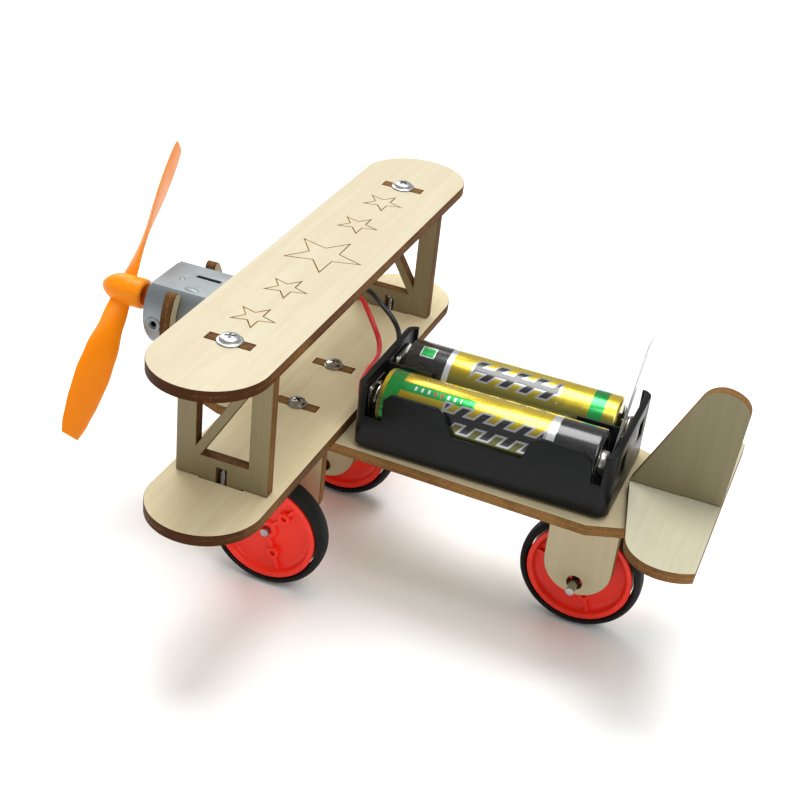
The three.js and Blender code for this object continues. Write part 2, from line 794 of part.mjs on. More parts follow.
// ---------- screws ----------
// A flanged pan-head screw along -Z, its flange's underside at z = 0.
function screw(length, flangeR) {
  const top = 1.3;
  const profile = [
    [0, -length],
    [SCREW_R - 0.5, -length],
    [SCREW_R, -length + 0.7],
    [SCREW_R, 0],
    [flangeR, 0],
    [flangeR, 0.35],
    [flangeR * 0.72, 0.6],
    [flangeR * 0.66, 1.0],
    [flangeR * 0.45, top],
    [0, top + 0.05],
  ];
  const blank = turnedAlongZ(profile, 16);
  const arm = flangeR * 0.36;
  const cross = block(-arm, arm, -0.28, 0.28, top - 0.6, top + 1);
  return cutAll(blank, [cross, cross.rotate([0, 0, 90])]);
}

const HEAD_GAP = 0.05;

const wingScrew = (side) =>
  screw(5.1, 2.75).rotate([0, 0, 20]).translate([0, side * STRUT.y, UPPER_TOP + HEAD_GAP]);

const strutScrew = (side) =>
  screw(5.6, 2.3).rotate([180, 0, 0]).translate([0, side * STRUT.y, LOWER_BOTTOM - HEAD_GAP]);

const bracketScrew = (side) =>
  screw(7.8, 2.3).rotate([0, 0, 30]).translate([0, side * BRACKET.frontY, LOWER_TOP + HEAD_GAP]);

// ---------- the assembly ----------
const model = new THREE.Group();
model.position.x = -CENTRE_X;

function add(name, manifold, colour, roughness, metalness = 0) {
  const material = new THREE.MeshStandardMaterial({ color: colour, roughness, metalness });
  const mesh = new THREE.Mesh(geometryOf(manifold), material);
  mesh.name = name;
  model.add(mesh);
}

const SIDES = [["left", 1], ["right", -1]];

add("upper_wing", upperWing(), COLOUR.ply, 0.7);
add("lower_wing", lowerWing(), COLOUR.ply, 0.7);
add("fuselage_board", fuselageBoard(), COLOUR.ply, 0.7);
add("stabilizer", stabilizer(), COLOUR.ply, 0.7);
add("tail_fin", tailFin(), COLOUR.ply, 0.7);
add("motor_cradle", motorCradle(), COLOUR.ply, 0.7);
for (const [name, side] of SIDES) {
  add(`strut_${name}`, strut(side * STRUT.y, side), COLOUR.ply, 0.7);
  const front = bracket(0, side * BRACKET.frontY, LOWER_TOP, true);
  add(`front_bracket_${name}`, front, COLOUR.ply, 0.7);
  const rear = bracket(REAR_AXLE_X, side * BRACKET.rearY, BOARD_TOP, false);
  add(`rear_bracket_${name}`, rear, COLOUR.ply, 0.7);
  const sleeve = FRONT_WHEEL_Y - BRACKET.frontY - PLY / 2 - 0.35;
  const hub = wheelHub(0, side * FRONT_WHEEL_Y, side, sleeve);
  add(`front_hub_${name}`, hub, COLOUR.hub, 0.35);
  add(`front_tyre_${name}`, tyre(0, side * FRONT_WHEEL_Y), COLOUR.tyre, 0.8);
  add(`wing_screw_${name}`, wingScrew(side), COLOUR.zinc, 0.25, 1);
  add(`strut_screw_${name}`, strutScrew(side), COLOUR.zinc, 0.25, 1);
  add(`bracket_screw_${name}`, bracketScrew(side), COLOUR.zinc, 0.25, 1);
  add(`motor_terminal_${name}`, motorTerminal(side), COLOUR.copper, 0.35, 1);
  add(`magnet_${name}`, magnet(side), COLOUR.magnet, 0.6);
}
add("rear_hub", wheelHub(REAR_AXLE_X, 0, 1, WHEEL.half + 0.4), COLOUR.hub, 0.35);
add("rear_tyre", tyre(REAR_AXLE_X, 0), COLOUR.tyre, 0.8);
add("front_axle", steelAxle(0, FRONT_AXLE_HALF), COLOUR.steel, 0.25, 1);
add("rear_axle", steelAxle(REAR_AXLE_X, REAR_AXLE_HALF), COLOUR.steel, 0.25, 1);
add("motor_can", motorCan(), COLOUR.motorCan, 0.35, 1);
add("motor_end_cap", motorEndCap(), COLOUR.motorCap, 0.5);
add("motor_shaft", motorShaft(), COLOUR.steel, 0.25, 1);
add("armature", armature(), COLOUR.magnet, 0.5, 1);
add("commutator", commutator(), COLOUR.copper, 0.35, 1);
add("propeller", propeller(), COLOUR.prop, 0.3);
add("battery_box", batteryBox(), COLOUR.box, 0.45);
add("box_pad", foamPad(), COLOUR.pad, 0.9);
add("battery_left", cell(CELL.y, CELL_FRONT.left, false), COLOUR.cell, 0.3, 0.6);
add("battery_right", cell(-CELL.y, CELL_FRONT.right, true), COLOUR.cell, 0.3, 0.6);
add("front_contact_left", frontContact(CELL.y), COLOUR.tin, 0.3, 1);
add("front_contact_right", frontContact(-CELL.y), COLOUR.tin, 0.3, 1);
add("rear_contact", rearContact(), COLOUR.tin, 0.3, 1);
const frontCoil = coneSpring(FRONT_SHEET - CONTACT - 0.3, CELL_FRONT.left + 0.35, CELL.y);
add("front_spring", frontCoil, COLOUR.tin, 0.25, 1);
const cellRear = CELL_FRONT.right - CELL.body;
const rearCoil = coneSpring(REAR_SHEET + CONTACT + 0.3, cellRear - 0.35, -CELL.y);
add("rear_spring", rearCoil, COLOUR.tin, 0.25, 1);
add("pull_tab", pullTab(), COLOUR.clear, 0.1);
add("red_lead", lead(RED_ROUTE), COLOUR.red, 0.45);
add("black_lead", lead(BLACK_ROUTE), COLOUR.black, 0.45);

export default model;
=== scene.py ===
"""A laser-cut plywood biplane on wheels: wood, motor, propeller, battery holder and leads."""

import math

import bmesh
import bpy
from mathutils import Matrix, Vector


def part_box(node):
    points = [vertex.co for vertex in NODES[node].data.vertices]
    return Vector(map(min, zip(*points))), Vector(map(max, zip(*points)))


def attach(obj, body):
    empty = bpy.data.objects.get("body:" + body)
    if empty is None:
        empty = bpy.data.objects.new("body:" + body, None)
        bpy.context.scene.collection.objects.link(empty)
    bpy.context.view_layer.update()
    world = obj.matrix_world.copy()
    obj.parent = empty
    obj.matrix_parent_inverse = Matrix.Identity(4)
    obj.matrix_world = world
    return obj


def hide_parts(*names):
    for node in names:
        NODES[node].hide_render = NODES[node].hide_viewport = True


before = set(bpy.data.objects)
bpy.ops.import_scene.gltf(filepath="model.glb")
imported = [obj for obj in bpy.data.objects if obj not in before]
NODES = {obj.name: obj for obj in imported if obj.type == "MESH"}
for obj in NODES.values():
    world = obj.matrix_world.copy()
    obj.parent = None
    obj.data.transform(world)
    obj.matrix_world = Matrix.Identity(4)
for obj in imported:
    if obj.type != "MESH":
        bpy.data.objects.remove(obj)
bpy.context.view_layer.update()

bl_info = {
    "name": "Plywood biplane",
    "version": (1, 0, 0),
    "blender": (4, 5, 0),
    "location": "3D View > Sidebar > Biplane",
    "description": "Builds the finished pieces of a plywood taxiing biplane round its solid frame",
    "category": "Object",
}

MM = 0.001
SHARP = 32  # degrees: a sharper edge than this is eased
SIDES = (("left", 1), ("right", -1))


def low(node):
    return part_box(node)[0]


def high(node):
    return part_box(node)[1]


def middle(node):
    a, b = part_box(node)
    return (a + b) / 2


WING_X = middle("upper_wing").x
SHAFT = middle("motor_shaft")


def at(x, y, z):
    """A point from millimetres: x from the wings' mid-chord, z from the ground."""
    return Vector((WING_X + x * MM, y * MM, z * MM))


# ---------- settings ----------


def colour_property(name, description, default):
    return bpy.props.FloatVectorProperty(
        name=name, description=description, default=default, size=3, min=0, max=1, subtype="COLOR"
    )


def length_property(name, description, default):
    return bpy.props.FloatProperty(
        name=name, description=description, default=default, min=0, unit="LENGTH", precision=5
    )


class BiplaneWood(bpy.types.PropertyGroup):
    light: colour_property("Birch, light", "Pale part of the face veneer", (0.580, 0.525, 0.385))
    dark: colour_property("Birch, dark", "Grain lines of the face veneer", (0.520, 0.440, 0.290))
    scorch: colour_property("Scorched wood", "What the laser leaves on an edge", (0.062, 0.021, 0.007))
    core: colour_property("Edge veneers", "The plies between the scorched streaks", (0.26, 0.135, 0.046))
    fringe: length_property("Scorched fringe", "Width of the brown line at each edge", 0.11 * MM)


class BiplaneWheels(bpy.types.PropertyGroup):
    hub: colour_property("Hub", "Colour of the moulded hubs", (0.92, 0.030, 0.012))
    tyre: colour_property("Tyre", "Colour of the rubber", (0.007, 0.0075, 0.0075))
    pegs: bpy.props.IntProperty(name="Pegs", description="Ringed pegs on a hub", default=3, min=1)
    peg_circle: length_property("Peg circle", "Radius at which the pegs stand", 6.1 * MM)


class BiplaneMotor(bpy.types.PropertyGroup):
    can: colour_property("Can", "Colour of the plated can", (0.28, 0.31, 0.32))
    blade: colour_property("Propeller", "Colour of the propeller", (1.0, 0.285, 0.003))
    pitch: length_property("Pitch", "How far one turn of the blades would screw forwards", 45 * MM)


class BiplanePower(bpy.types.PropertyGroup):
    box: colour_property("Holder", "Colour of the battery holder", (0.0045, 0.005, 0.0055))
    gold: colour_property("Cell sleeve", "Main colour of the printed sleeves", (0.78, 0.58, 0.035))
    green: colour_property("Cell bands", "Second colour of the sleeves", (0.012, 0.33, 0.065))
    lead: length_property("Lead radius", "Radius of the insulated leads", 0.62 * MM)
    spring_wire: length_property("Spring wire", "Radius of the contact springs' wire", 0.25 * MM)


# ---------- mesh helpers ----------


def linked(name, data):
    piece = bpy.data.objects.new(name, data)
    bpy.context.scene.collection.objects.link(piece)
    return piece


def shaded(mesh, smooth_angle):
    """Smooth shading, with a sharp edge wherever faces meet at more than the angle."""
    mesh.shade_smooth()
    mesh.set_sharp_from_angle(angle=math.radians(smooth_angle))


def object_of(name, bm, materials, smooth_angle=35):
    """An object at the origin from a mesh under construction and the names of its materials."""
    mesh = bpy.data.meshes.new(name)
    bm.to_mesh(mesh)
    bm.free()
    for material in materials:
        mesh.materials.append(MATERIALS[material])
    shaded(mesh, smooth_angle)
    return linked(name, mesh)


def object_from(name, bm, materials, smooth_angle=35):
    """The same, with its points joined and its faces turned outwards first."""
    bmesh.ops.remove_doubles(bm, verts=bm.verts, dist=1e-6)
    bmesh.ops.recalc_face_normals(bm, faces=bm.faces)
    return object_of(name, bm, materials, smooth_angle)


def finish(piece, body, nodes=()):
    """Says which body a piece rides on and the solids it stands in for."""
    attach(piece, body)
    if nodes:
        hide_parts(*nodes)


def merged_copy(node):
    """A copy of a solid's mesh with its triangles joined back into whole faces."""
    bm = bmesh.new()
    bm.from_mesh(NODES[node].data)
    bmesh.ops.remove_doubles(bm, verts=bm.verts, dist=2e-6)
    bmesh.ops.dissolve_degenerate(bm, dist=1e-6, edges=bm.edges)
    bmesh.ops.dissolve_limit(
        bm, angle_limit=math.radians(0.6), verts=bm.verts, edges=bm.edges, delimit=set()
    )
    return bm


def bevelled(piece, width, segments=2, angle=SHARP, material=-1, by_weight=False):
    """Rounds a piece's sharp edges for good; the new faces take a material slot if one is given."""
    bevel = piece.modifiers.new("Edges", "BEVEL")
    bevel.width = width
    bevel.segments = segments
    bevel.limit_method = "WEIGHT" if by_weight else "ANGLE"
    bevel.angle_limit = math.radians(angle)
    bevel.material = material
    bevel.use_clamp_overlap = True
    return applied(piece)


def applied(piece, smooth_angle=35):
    """Turns a piece with its modifiers into a plain mesh."""
    evaluated = piece.evaluated_get(bpy.context.evaluated_depsgraph_get())
    mesh = bpy.data.meshes.new_from_object(evaluated)
    name = piece.name
    if piece.type == "MESH":
        piece.modifiers.clear()
        old = piece.data
        piece.data = mesh
        bpy.data.meshes.remove(old)
    else:
        bpy.data.objects.remove(piece)
        piece = linked(name, mesh)
    mesh.name = name
    shaded(mesh, smooth_angle)
    return piece


def combined(piece, other, operation, smooth_angle):
    """Joins another piece to this one, or cuts it away, and removes the other."""
    boolean = piece.modifiers.new("Combine", "BOOLEAN")
    boolean.operation = operation
    boolean.solver = "EXACT"
    boolean.object = other
    piece = applied(piece, smooth_angle)
    bpy.data.objects.remove(other)
    return piece


AXES = {
    "X": Matrix(((0, 0, 1), (1, 0, 0), (0, 1, 0))),
    "Y": Matrix(((0, 1, 0), (0, 0, 1), (1, 0, 0))),
    "Z": Matrix(((1, 0, 0), (0, 1, 0), (0, 0, 1))),
}


def skin(bm, rings):
    """Joins neighbouring rings of points with faces; a ring of one point closes to a tip."""
    for a, b in zip(rings, rings[1:]):
        count = max(len(a), len(b))
        for i in range(count):
            j = (i + 1) % count
            corners = [a[i % len(a)], a[j % len(a)], b[j % len(b)], b[i % len(b)]]
            unique = list(dict.fromkeys(corners))
            if len(unique) > 2:
                bm.faces.new(unique)


def add_turned(bm, profile, axis, centre, segments=64):
    """A body of revolution from [radius, height] points in millimetres along an axis."""
    basis = AXES[axis].to_4x4()
    rings = []
    for radius, height in profile:
        if radius < 1e-6:
            rings.append([bm.verts.new(centre + basis @ Vector((0, 0, height * MM)))])
            continue
        ring = []
        for i in range(segments):
            a = 2 * math.pi * i / segments
            spot = Vector((radius * math.cos(a), radius * math.sin(a), height)) * MM
            ring.append(bm.verts.new(centre + basis @ spot))
        rings.append(ring)
    skin(bm, rings)


def turned(name, profile, axis, centre, materials, segments=64, smooth_angle=35):
    bm = bmesh.new()
    add_turned(bm, profile, axis, centre, segments)
    return object_from(name, bm, materials, smooth_angle)


def rounded(corners, radius, steps=4):
    """A closed [radius, height] profile with its inner corners eased."""
    eased = []
    count = len(corners)
    for i, corner in enumerate(corners):
        here = Vector(corner)
        before = Vector(corners[i - 1]) - here
        after = Vector(corners[(i + 1) % count]) - here
        reach = min(radius, before.length * 0.45, after.length * 0.45)
        if corner[0] < 1e-6 or reach < 1e-4:
            eased.append(tuple(here))
            continue
        a = here + before.normalized() * reach
        b = here + after.normalized() * reach
        for k in range(steps + 1):
            t = k / steps
            eased.append(tuple(a.lerp(here, t).lerp(here.lerp(b, t), t)))
    return eased


def closed_ring(profile, radius, steps=4):
    """A rounded profile that ends where it starts, for a body with a hole along its axis."""
    eased = rounded(profile, radius, steps)
    return [*eased, eased[0]]


# ---------- shader helpers ----------


class Graph:
    """Adds and joins nodes in one node tree."""

    def __init__(self, tree):
        self.tree = tree

    def add(self, kind, inputs=None, **settings):
        node = self.tree.nodes.new(kind)
        for key, value in settings.items():
            setattr(node, key, value)
        for key, value in (inputs or {}).items():
            self.put(node.inputs[key], value)
        return node

    def put(self, socket, value):
        if isinstance(value, bpy.types.NodeSocket):
            self.tree.links.new(value, socket)
        elif socket.type == "RGBA" and len(value) == 3:
            socket.default_value = (*value, 1)
        else:
            socket.default_value = value

    def feed(self, sockets, **values):
        """Sets or joins sockets by name; an underscore stands for a space."""
        for key, value in values.items():
            self.put(sockets[key.replace("_", " ")], value)

    def math(self, operation, a, b=0.0, clamp=False):
        return self.add("ShaderNodeMath", {0: a, 1: b}, operation=operation, use_clamp=clamp).outputs[0]

    def times(self, a, b):
        return self.math("MULTIPLY", a, b)

    def plus(self, a, b, clamp=False):
        return self.math("ADD", a, b, clamp)

    def minus(self, a, b):
        return self.math("SUBTRACT", a, b)

    def most(self, a, b):
        return self.math("MAXIMUM", a, b)

    def mix(self, factor, a, b):
        """Blends two colours: the mix node's colour sockets are inputs 6 and 7 and output 2."""
        return self.add("ShaderNodeMix", {0: factor, 6: a, 7: b}, data_type="RGBA").outputs[2]

    def spread(self, value, a, b, c=0.0, d=1.0):
        """Maps a..b to c..d and clamps."""
        return self.add("ShaderNodeMapRange", {0: value, 1: a, 2: b, 3: c, 4: d}).outputs[0]

    def step(self, value, edge, soft=0.04):
        """0 below the edge, 1 above it."""
        return self.spread(value, edge - soft, edge + soft)

    def between(self, value, a, b, soft=0.04):
        return self.times(self.step(value, a, soft), self.spread(value, b - soft, b + soft, 1, 0))

    def inside(self, u, v, box):
        """1 inside a box of (u0, u1, v0, v1)."""
        u0, u1, v0, v1 = box
        return self.times(self.between(u, u0, u1), self.between(v, v0, v1))

    def noise(self, vector, scale, detail=3.0, roughness=0.55, distortion=0.0):
        values = {"Scale": scale, "Detail": detail, "Roughness": roughness, "Distortion": distortion}
        return self.add("ShaderNodeTexNoise", {"Vector": vector, **values}).outputs[0]

    def stretched(self, vector, scale):
        return self.add("ShaderNodeMapping", {"Vector": vector, "Scale": scale}).outputs[0]

    def millimetres(self, vector):
        return self.add("ShaderNodeVectorMath", {0: vector, 3: 1 / MM}, operation="SCALE").outputs[0]

    def parts(self, vector):
        return self.add("ShaderNodeSeparateXYZ", {0: vector}).outputs

    def bump(self, height, strength, distance):
        inputs = {"Height": height, "Strength": strength, "Distance": distance}
        return self.add("ShaderNodeBump", inputs).outputs[0]


def node_group(name, kind, inputs, outputs):
    """A node group with named sockets; gives it with its graph, inputs and outputs."""
    tree = bpy.data.node_groups.new(name, kind)
    for label, value, default in inputs:
        socket = tree.interface.new_socket(label, in_out="INPUT", socket_type=f"NodeSocket{value}")
        if default is not None:
            socket.default_value = default
    for label, value in outputs:
        tree.interface.new_socket(label, in_out="OUTPUT", socket_type=f"NodeSocket{value}")
    graph = Graph(tree)
    return tree, graph, graph.add("NodeGroupInput").outputs, graph.add("NodeGroupOutput").inputs


def shader_group(name, inputs, outputs, build):
    """A shader node group; build(graph, inputs, outputs) fills it."""
    tree, graph, given, out = node_group(name, "ShaderNodeTree", inputs, outputs)
    build(graph, given, out)
    return tree


def birch(graph, given, out):
    """Face veneer: long faint streaks, short pores and slow changes of tone."""
    mm = graph.millimetres(given["Vector"])
    streaks = graph.noise(graph.stretched(mm, (0.018, 0.55, 0.55)), 1.0, 5, 0.6, 0.4)
    fine = graph.noise(graph.stretched(mm, (0.10, 2.6, 2.6)), 1.0, 3, 0.5)
    cloud = graph.noise(mm, 0.045, 3, 0.55, 0.6)
    pore = graph.noise(graph.stretched(mm, (0.55, 5.5, 5.5)), 1.0, 2, 0.5)
    pores = graph.spread(pore, 0.66, 0.76)
    tone = graph.plus(graph.spread(streaks, 0.35, 0.72, 0, 0.6), graph.spread(fine, 0.3, 0.75, 0, 0.3))
    tone = graph.plus(tone, graph.spread(cloud, 0.4, 0.7, 0, 0.25), True)
    colour = graph.mix(tone, given["Light"], given["Dark"])
    shade = graph.mix(graph.times(pores, 0.28), colour, (0.30, 0.19, 0.09))
    height = graph.minus(graph.times(fine, 0.5), graph.times(pores, 0.6))
    graph.feed(out, Color=shade, Roughness=graph.spread(fine, 0.2, 0.8, 0.50, 0.66), Height=height)


def scorched(graph, given, out):
    """A laser-cut edge: three veneers across it, streaks down it, and blackened patches."""
    mm = graph.millimetres(given["Vector"])
    layer = given["Layer"]
    wander = graph.noise(graph.stretched(mm, (0.5, 0.5, 0.5)), 1.0, 2)
    wavy = graph.plus(layer, graph.spread(wander, 0.2, 0.8, -0.06, 0.06))
    upper_glue = graph.between(wavy, 0.64, 0.70, 0.035)
    glue = graph.most(graph.between(wavy, 0.33, 0.39, 0.035), upper_glue)
    core = graph.between(wavy, 0.36, 0.67, 0.03)
    streak = graph.noise(graph.stretched(mm, (1.6, 1.6, 1.1)), 1.0, 4, 0.65)
    patch = graph.noise(mm, 0.06, 3, 0.6)
    dark = graph.times(graph.spread(streak, 0.3, 0.7, 0.15, 0.85), 0.55)
    dark = graph.plus(dark, graph.times(glue, 0.30))
    dark = graph.minus(dark, graph.times(core, 0.12))
    dark = graph.plus(dark, graph.spread(patch, 0.35, 0.65, -0.25, 0.25))
    top_rim = graph.spread(layer, 0.90, 1.0)
    rim = graph.most(graph.spread(layer, 0.0, 0.16, 1, 0), top_rim)
    dark = graph.plus(dark, graph.times(rim, 0.40))
    dark = graph.plus(dark, given["Burn"], True)
    colour = graph.mix(dark, given["Wood"], given["Scorch"])
    height = graph.plus(graph.times(streak, 0.6), graph.times(glue, 0.4))
    graph.feed(out, Color=colour, Roughness=graph.spread(dark, 0, 1, 0.75, 0.5), Height=height)


def handled(graph, given, out):
    """Fine scuffs, smudges and dust for plastic, rubber and metal."""
    mm = graph.millimetres(given["Vector"])
    smudge = graph.noise(mm, 0.16, 4, 0.6, 0.8)
    speck = graph.noise(mm, 3.4, 2, 0.5)
    scuff_a = graph.noise(graph.stretched(mm, (0.35, 6.0, 6.0)), 1.0, 2, 0.5, 1.2)
    scuff_b = graph.noise(graph.stretched(mm, (6.0, 0.35, 6.0)), 1.0, 2, 0.5, 1.2)
    scuffs = graph.most(graph.spread(scuff_a, 0.64, 0.74), graph.spread(scuff_b, 0.66, 0.76))
    scuffs = graph.times(scuffs, given["Scuffs"])
    dust = graph.times(graph.spread(speck, 0.60, 0.72), given["Dust"])
    graph.feed(
        out,
        Mask=graph.plus(scuffs, dust, True),
        Smudge=graph.spread(smudge, 0.3, 0.7),
        Height=graph.minus(graph.times(speck, 0.25), scuffs),
    )


GROUPS = {}


def make_groups():
    where = ("Vector", "Vector", None)
    coloured = [("Color", "Color"), ("Roughness", "Float"), ("Height", "Float")]
    light, dark = ("Light", "Color", (0.8, 0.7, 0.5, 1)), ("Dark", "Color", (0.6, 0.5, 0.3, 1))
    GROUPS["birch"] = shader_group("Birch veneer", [where, light, dark], coloured, birch)
    edge = [("Layer", "Float", 0.5), ("Burn", "Float", 0.0), ("Wood", "Color", (0.3, 0.2, 0.1, 1))]
    edge.append(("Scorch", "Color", (0.05, 0.02, 0.01, 1)))
    GROUPS["scorched"] = shader_group("Laser-cut edge", [where, *edge], coloured, scorched)
    marks = [("Scuffs", "Float", 0.5), ("Dust", "Float", 0.5)]
    masks = [("Mask", "Float"), ("Smudge", "Float"), ("Height", "Float")]
    GROUPS["handled"] = shader_group("Handling marks", [where, *marks], masks, handled)


MATERIALS = {}


def new_material(name):
    """A material's graph, its shader's sockets and the object's own coordinates."""
    material = bpy.data.materials.new(name)
    material.use_nodes = True
    graph = Graph(material.node_tree)
    shader = material.node_tree.nodes["Principled BSDF"].inputs
    MATERIALS[name] = material
    where = graph.add("ShaderNodeTexCoord").outputs["Object"]
    return graph, shader, where


def use_group(graph, key, **inputs):
    node = graph.add("ShaderNodeGroup", node_tree=GROUPS[key])
    graph.feed(node.inputs, **inputs)
    return node.outputs


def face_material(name, turn, shade=1.0, cast=(1, 1, 1)):
    """Birch with its grain along the axis that turn brings to X."""
    wood = bpy.context.scene.biplane_wood
    graph, shader, where = new_material(name)
    lengthwise = graph.add("ShaderNodeMapping", {"Vector": where, "Rotation": turn}).outputs[0]
    light, dark = ([c * shade * k for c, k in zip(tone, cast)] for tone in (wood.light, wood.dark))
    veneer = use_group(graph, "birch", Vector=lengthwise, Light=light, Dark=dark)
    relief = graph.bump(veneer["Height"], 0.35, 0.03 * MM)
    graph.feed(shader, Base_Color=veneer["Color"], Roughness=veneer["Roughness"], Normal=relief)
    graph.feed(shader, Specular_IOR_Level=0.3)


def edge_material(name, burn):
    """A laser-cut edge; its mesh says how far up the plate and how burnt each point is."""
    wood = bpy.context.scene.biplane_wood
    graph, shader, where = new_material(name)
    layer = graph.add("ShaderNodeAttribute", attribute_name="layer").outputs["Fac"]
    extra = graph.add("ShaderNodeAttribute", attribute_name="burn").outputs["Fac"]
    burnt = graph.plus(extra, burn)
    veneers, scorch = list(wood.core), list(wood.scorch)
    cut = use_group(graph, "scorched", Vector=where, Layer=layer, Burn=burnt, Wood=veneers, Scorch=scorch)
    relief = graph.bump(cut["Height"], 0.5, 0.06 * MM)
    graph.feed(shader, Base_Color=cut["Color"], Roughness=cut["Roughness"], Normal=relief)
    graph.feed(shader, Specular_IOR_Level=0.04)


def smooth_material(name, colour, roughness, metallic=0.0, scuffs=0.3, dust=0.3, marks=None, **extra):
    """Plastic, rubber or metal with handling marks in its colour, gloss and relief."""
    graph, shader, where = new_material(name)
    worn = use_group(graph, "handled", Vector=where, Scuffs=scuffs, Dust=dust)
    marks = marks or [min(1, c * 1.5 + 0.03) for c in colour]
    smudged = graph.mix(graph.times(worn["Smudge"], 0.22), colour, [c * 0.8 for c in colour])
    rough = graph.spread(worn["Smudge"], 0, 1, roughness * 0.85, min(1, roughness * 1.2))
    graph.feed(
        shader,
        Base_Color=graph.mix(graph.times(worn["Mask"], 0.5), smudged, marks),
        Roughness=graph.plus(rough, graph.times(worn["Mask"], 0.15), True),
        Normal=graph.bump(worn["Height"], 0.12, 0.03 * MM),
        Metallic=metallic,
        **extra,
    )
    return graph, shader, where


def brushed(name, colour, roughness, axis):
    """Drawn or turned metal with fine lines round an axis."""
    graph, shader, where = smooth_material(name, colour, roughness, 1.0, 0.4, 0.15)
    lines = graph.noise(graph.stretched(where, [k / MM for k in axis]), 1.0, 3, 0.6)
    graph.feed(shader, Normal=graph.bump(lines, 0.10, 0.03 * MM))


def make_wood_materials():
    along_y = (0, 0, math.pi / 2)
    along_z = (0, math.pi / 2, 0)
    face_material("wing_face", along_y)
    # Painted light: the lower wing's birch is made lighter to lift the shade that the upper wing casts on
    # it.
    face_material("lower_wing_face", along_y, 1.20, (1, 0.97, 0.86))
    face_material("tail_face", along_y, 0.86, (0.94, 1, 1.02))
    face_material("board_face", (0, 0, 0), 0.92, (1, 0.96, 0.84))
    face_material("upright_face", along_z, 0.92, (1, 0.96, 0.86))
    # Painted shade: the struts and the fin are the same birch as the other plates, darkened here for the
    # shade that falls on their sides.
    face_material("strut_face", along_z, 0.42, (1, 0.92, 0.68))
    face_material("fin_face", along_z, 0.44, (1, 1.0, 0.80))
    edge_material("dark_edge", 0.30)
    edge_material("brown_edge", -0.02)
    edge_material("laser_line", -0.05)
    # The laser lines' own golden brown, also lightened as painted light to offset the shade inside the
    # narrow grooves.
    face_material("engraved", along_y, 1.05, (1, 0.80, 0.40))


def slanted_marks(graph, u, v, box, pitch, lean, half):
    """Slanted bars with one crossing bar inside a box of (u0, u1, v0, v1)."""
    phase = graph.plus(u, graph.times(v, lean))
    saw = graph.math("PINGPONG", phase, pitch / 2)
    bars = graph.spread(saw, half - 0.05, half + 0.05, 1, 0)
    mid = (box[2] + box[3]) / 2
    cross = graph.between(v, mid - half * 0.8, mid + half * 0.8)
    return graph.times(graph.most(bars, cross), graph.inside(u, v, box))


CELL_R = 7.1
CELL_BODY = 49.2  # length of a cell's can
CELL_NUB = 1.3  # how far its nub stands out


def cell_material(name, node, nose_first):
    """A printed sleeve: bands, a strip of dashes and slanted bars, with painted shade round its sides; u
    runs along the cell and v round it.
    """
    power = bpy.context.scene.biplane_power
    graph, shader, where = new_material(name)
    x, y, z = graph.parts(where)
    centre = middle(node)
    front = high(node).x - (CELL_NUB * MM if nose_first else 0)
    u = graph.times(graph.minus(front, x), 1 / MM)
    angle = graph.math("ARCTAN2", graph.minus(y, centre.y), graph.minus(z, centre.z))
    v = graph.times(angle, CELL_R)
    gold, green = list(power.gold), list(power.green)
    black = (0.006, 0.006, 0.007)
    white = (0.72, 0.74, 0.76)
    silver = (0.42, 0.43, 0.45)
    shaded_gold = (0.10, 0.10, 0.012)
    red = (0.55, 0.012, 0.02)
    # Painted shade and dark reflection: the gold sleeve turns dark olive round its sides and underside,
    # leaving a lit gold strip along its top.
    colour = graph.mix(graph.spread(v, 2.8, 7.2), gold, shaded_gold)
    colour = graph.mix(graph.spread(v, -12.0, -5.5, 1, 0), colour, shaded_gold)
    if nose_first:
        motif = (16.0, 35.5, 0.6, 5.6)
        print_bands = ((-2.0, 9.6, black), (9.6, 10.9, white), (43.0, 46.2, green))
    else:
        motif = (15.0, 37.0, 4.4, 9.8)
        print_bands = ((1.1, 4.3, green), (37.6, 39.4, white), (39.4, 60.0, black))
        colour = graph.mix(graph.inside(u, v, (4.2, 21.0, 1.9, 4.3)), colour, green)
        dashes = graph.spread(graph.math("PINGPONG", u, 0.75), 0.2, 0.3, 1, 0)
        row = graph.times(graph.inside(u, v, (7.0, 18.0, 2.5, 3.6)), dashes)
        middle_red = graph.between(u, 11.0, 14.5)
        colour = graph.mix(row, colour, graph.mix(middle_red, white, red))
    dashes = graph.spread(graph.math("PINGPONG", u, 0.45), 0.16, 0.24, 1, 0)
    fine = graph.times(graph.inside(u, v, (6.0, 36.0, -1.75, -1.15)), dashes)
    colour = graph.mix(graph.times(fine, 0.6), colour, (0.16, 0.10, 0.01))
    u0, u1, v0, v1 = motif
    wide = (u0 - 0.5, u1 + 0.5, v0 - 0.45, v1 + 0.45)
    colour = graph.mix(slanted_marks(graph, u, v, wide, 4.6, 0.75, 1.45), colour, silver)
    colour = graph.mix(slanted_marks(graph, u, v, motif, 4.6, 0.75, 0.92), colour, black)
    for a, b, paint in print_bands:
        colour = graph.mix(graph.between(u, a, b), colour, paint)
    if nose_first:
        for edge, paint in ((0.0, white), (0.25, green)):
            block = (3.1 + edge, 6.5 - edge, 0.6 + edge, 3.8 - edge)
            colour = graph.mix(graph.inside(u, v, block), colour, paint)
    ends = graph.spread(u, CELL_BODY - 0.1, CELL_BODY)
    ends = graph.most(graph.spread(u, -0.05, 0.0, 1, 0), ends)
    colour = graph.mix(ends, colour, (0.62, 0.60, 0.55))
    worn = use_group(graph, "handled", Vector=where, Scuffs=0.35, Dust=0.1)
    colour = graph.mix(graph.times(worn["Mask"], 0.25), colour, (0.7, 0.7, 0.66))
    printed = graph.add("ShaderNodeRGBToBW", {0: colour}).outputs[0]
    graph.feed(
        shader,
        Base_Color=colour,
        Metallic=graph.spread(printed, 0.02, 0.25, 0.15, 0.85),
        Roughness=graph.spread(worn["Smudge"], 0, 1, 0.20, 0.30),
        Normal=graph.bump(worn["Height"], 0.10, 0.03 * MM),
        Coat_Weight=0.6,
        Coat_Roughness=0.12,
    )


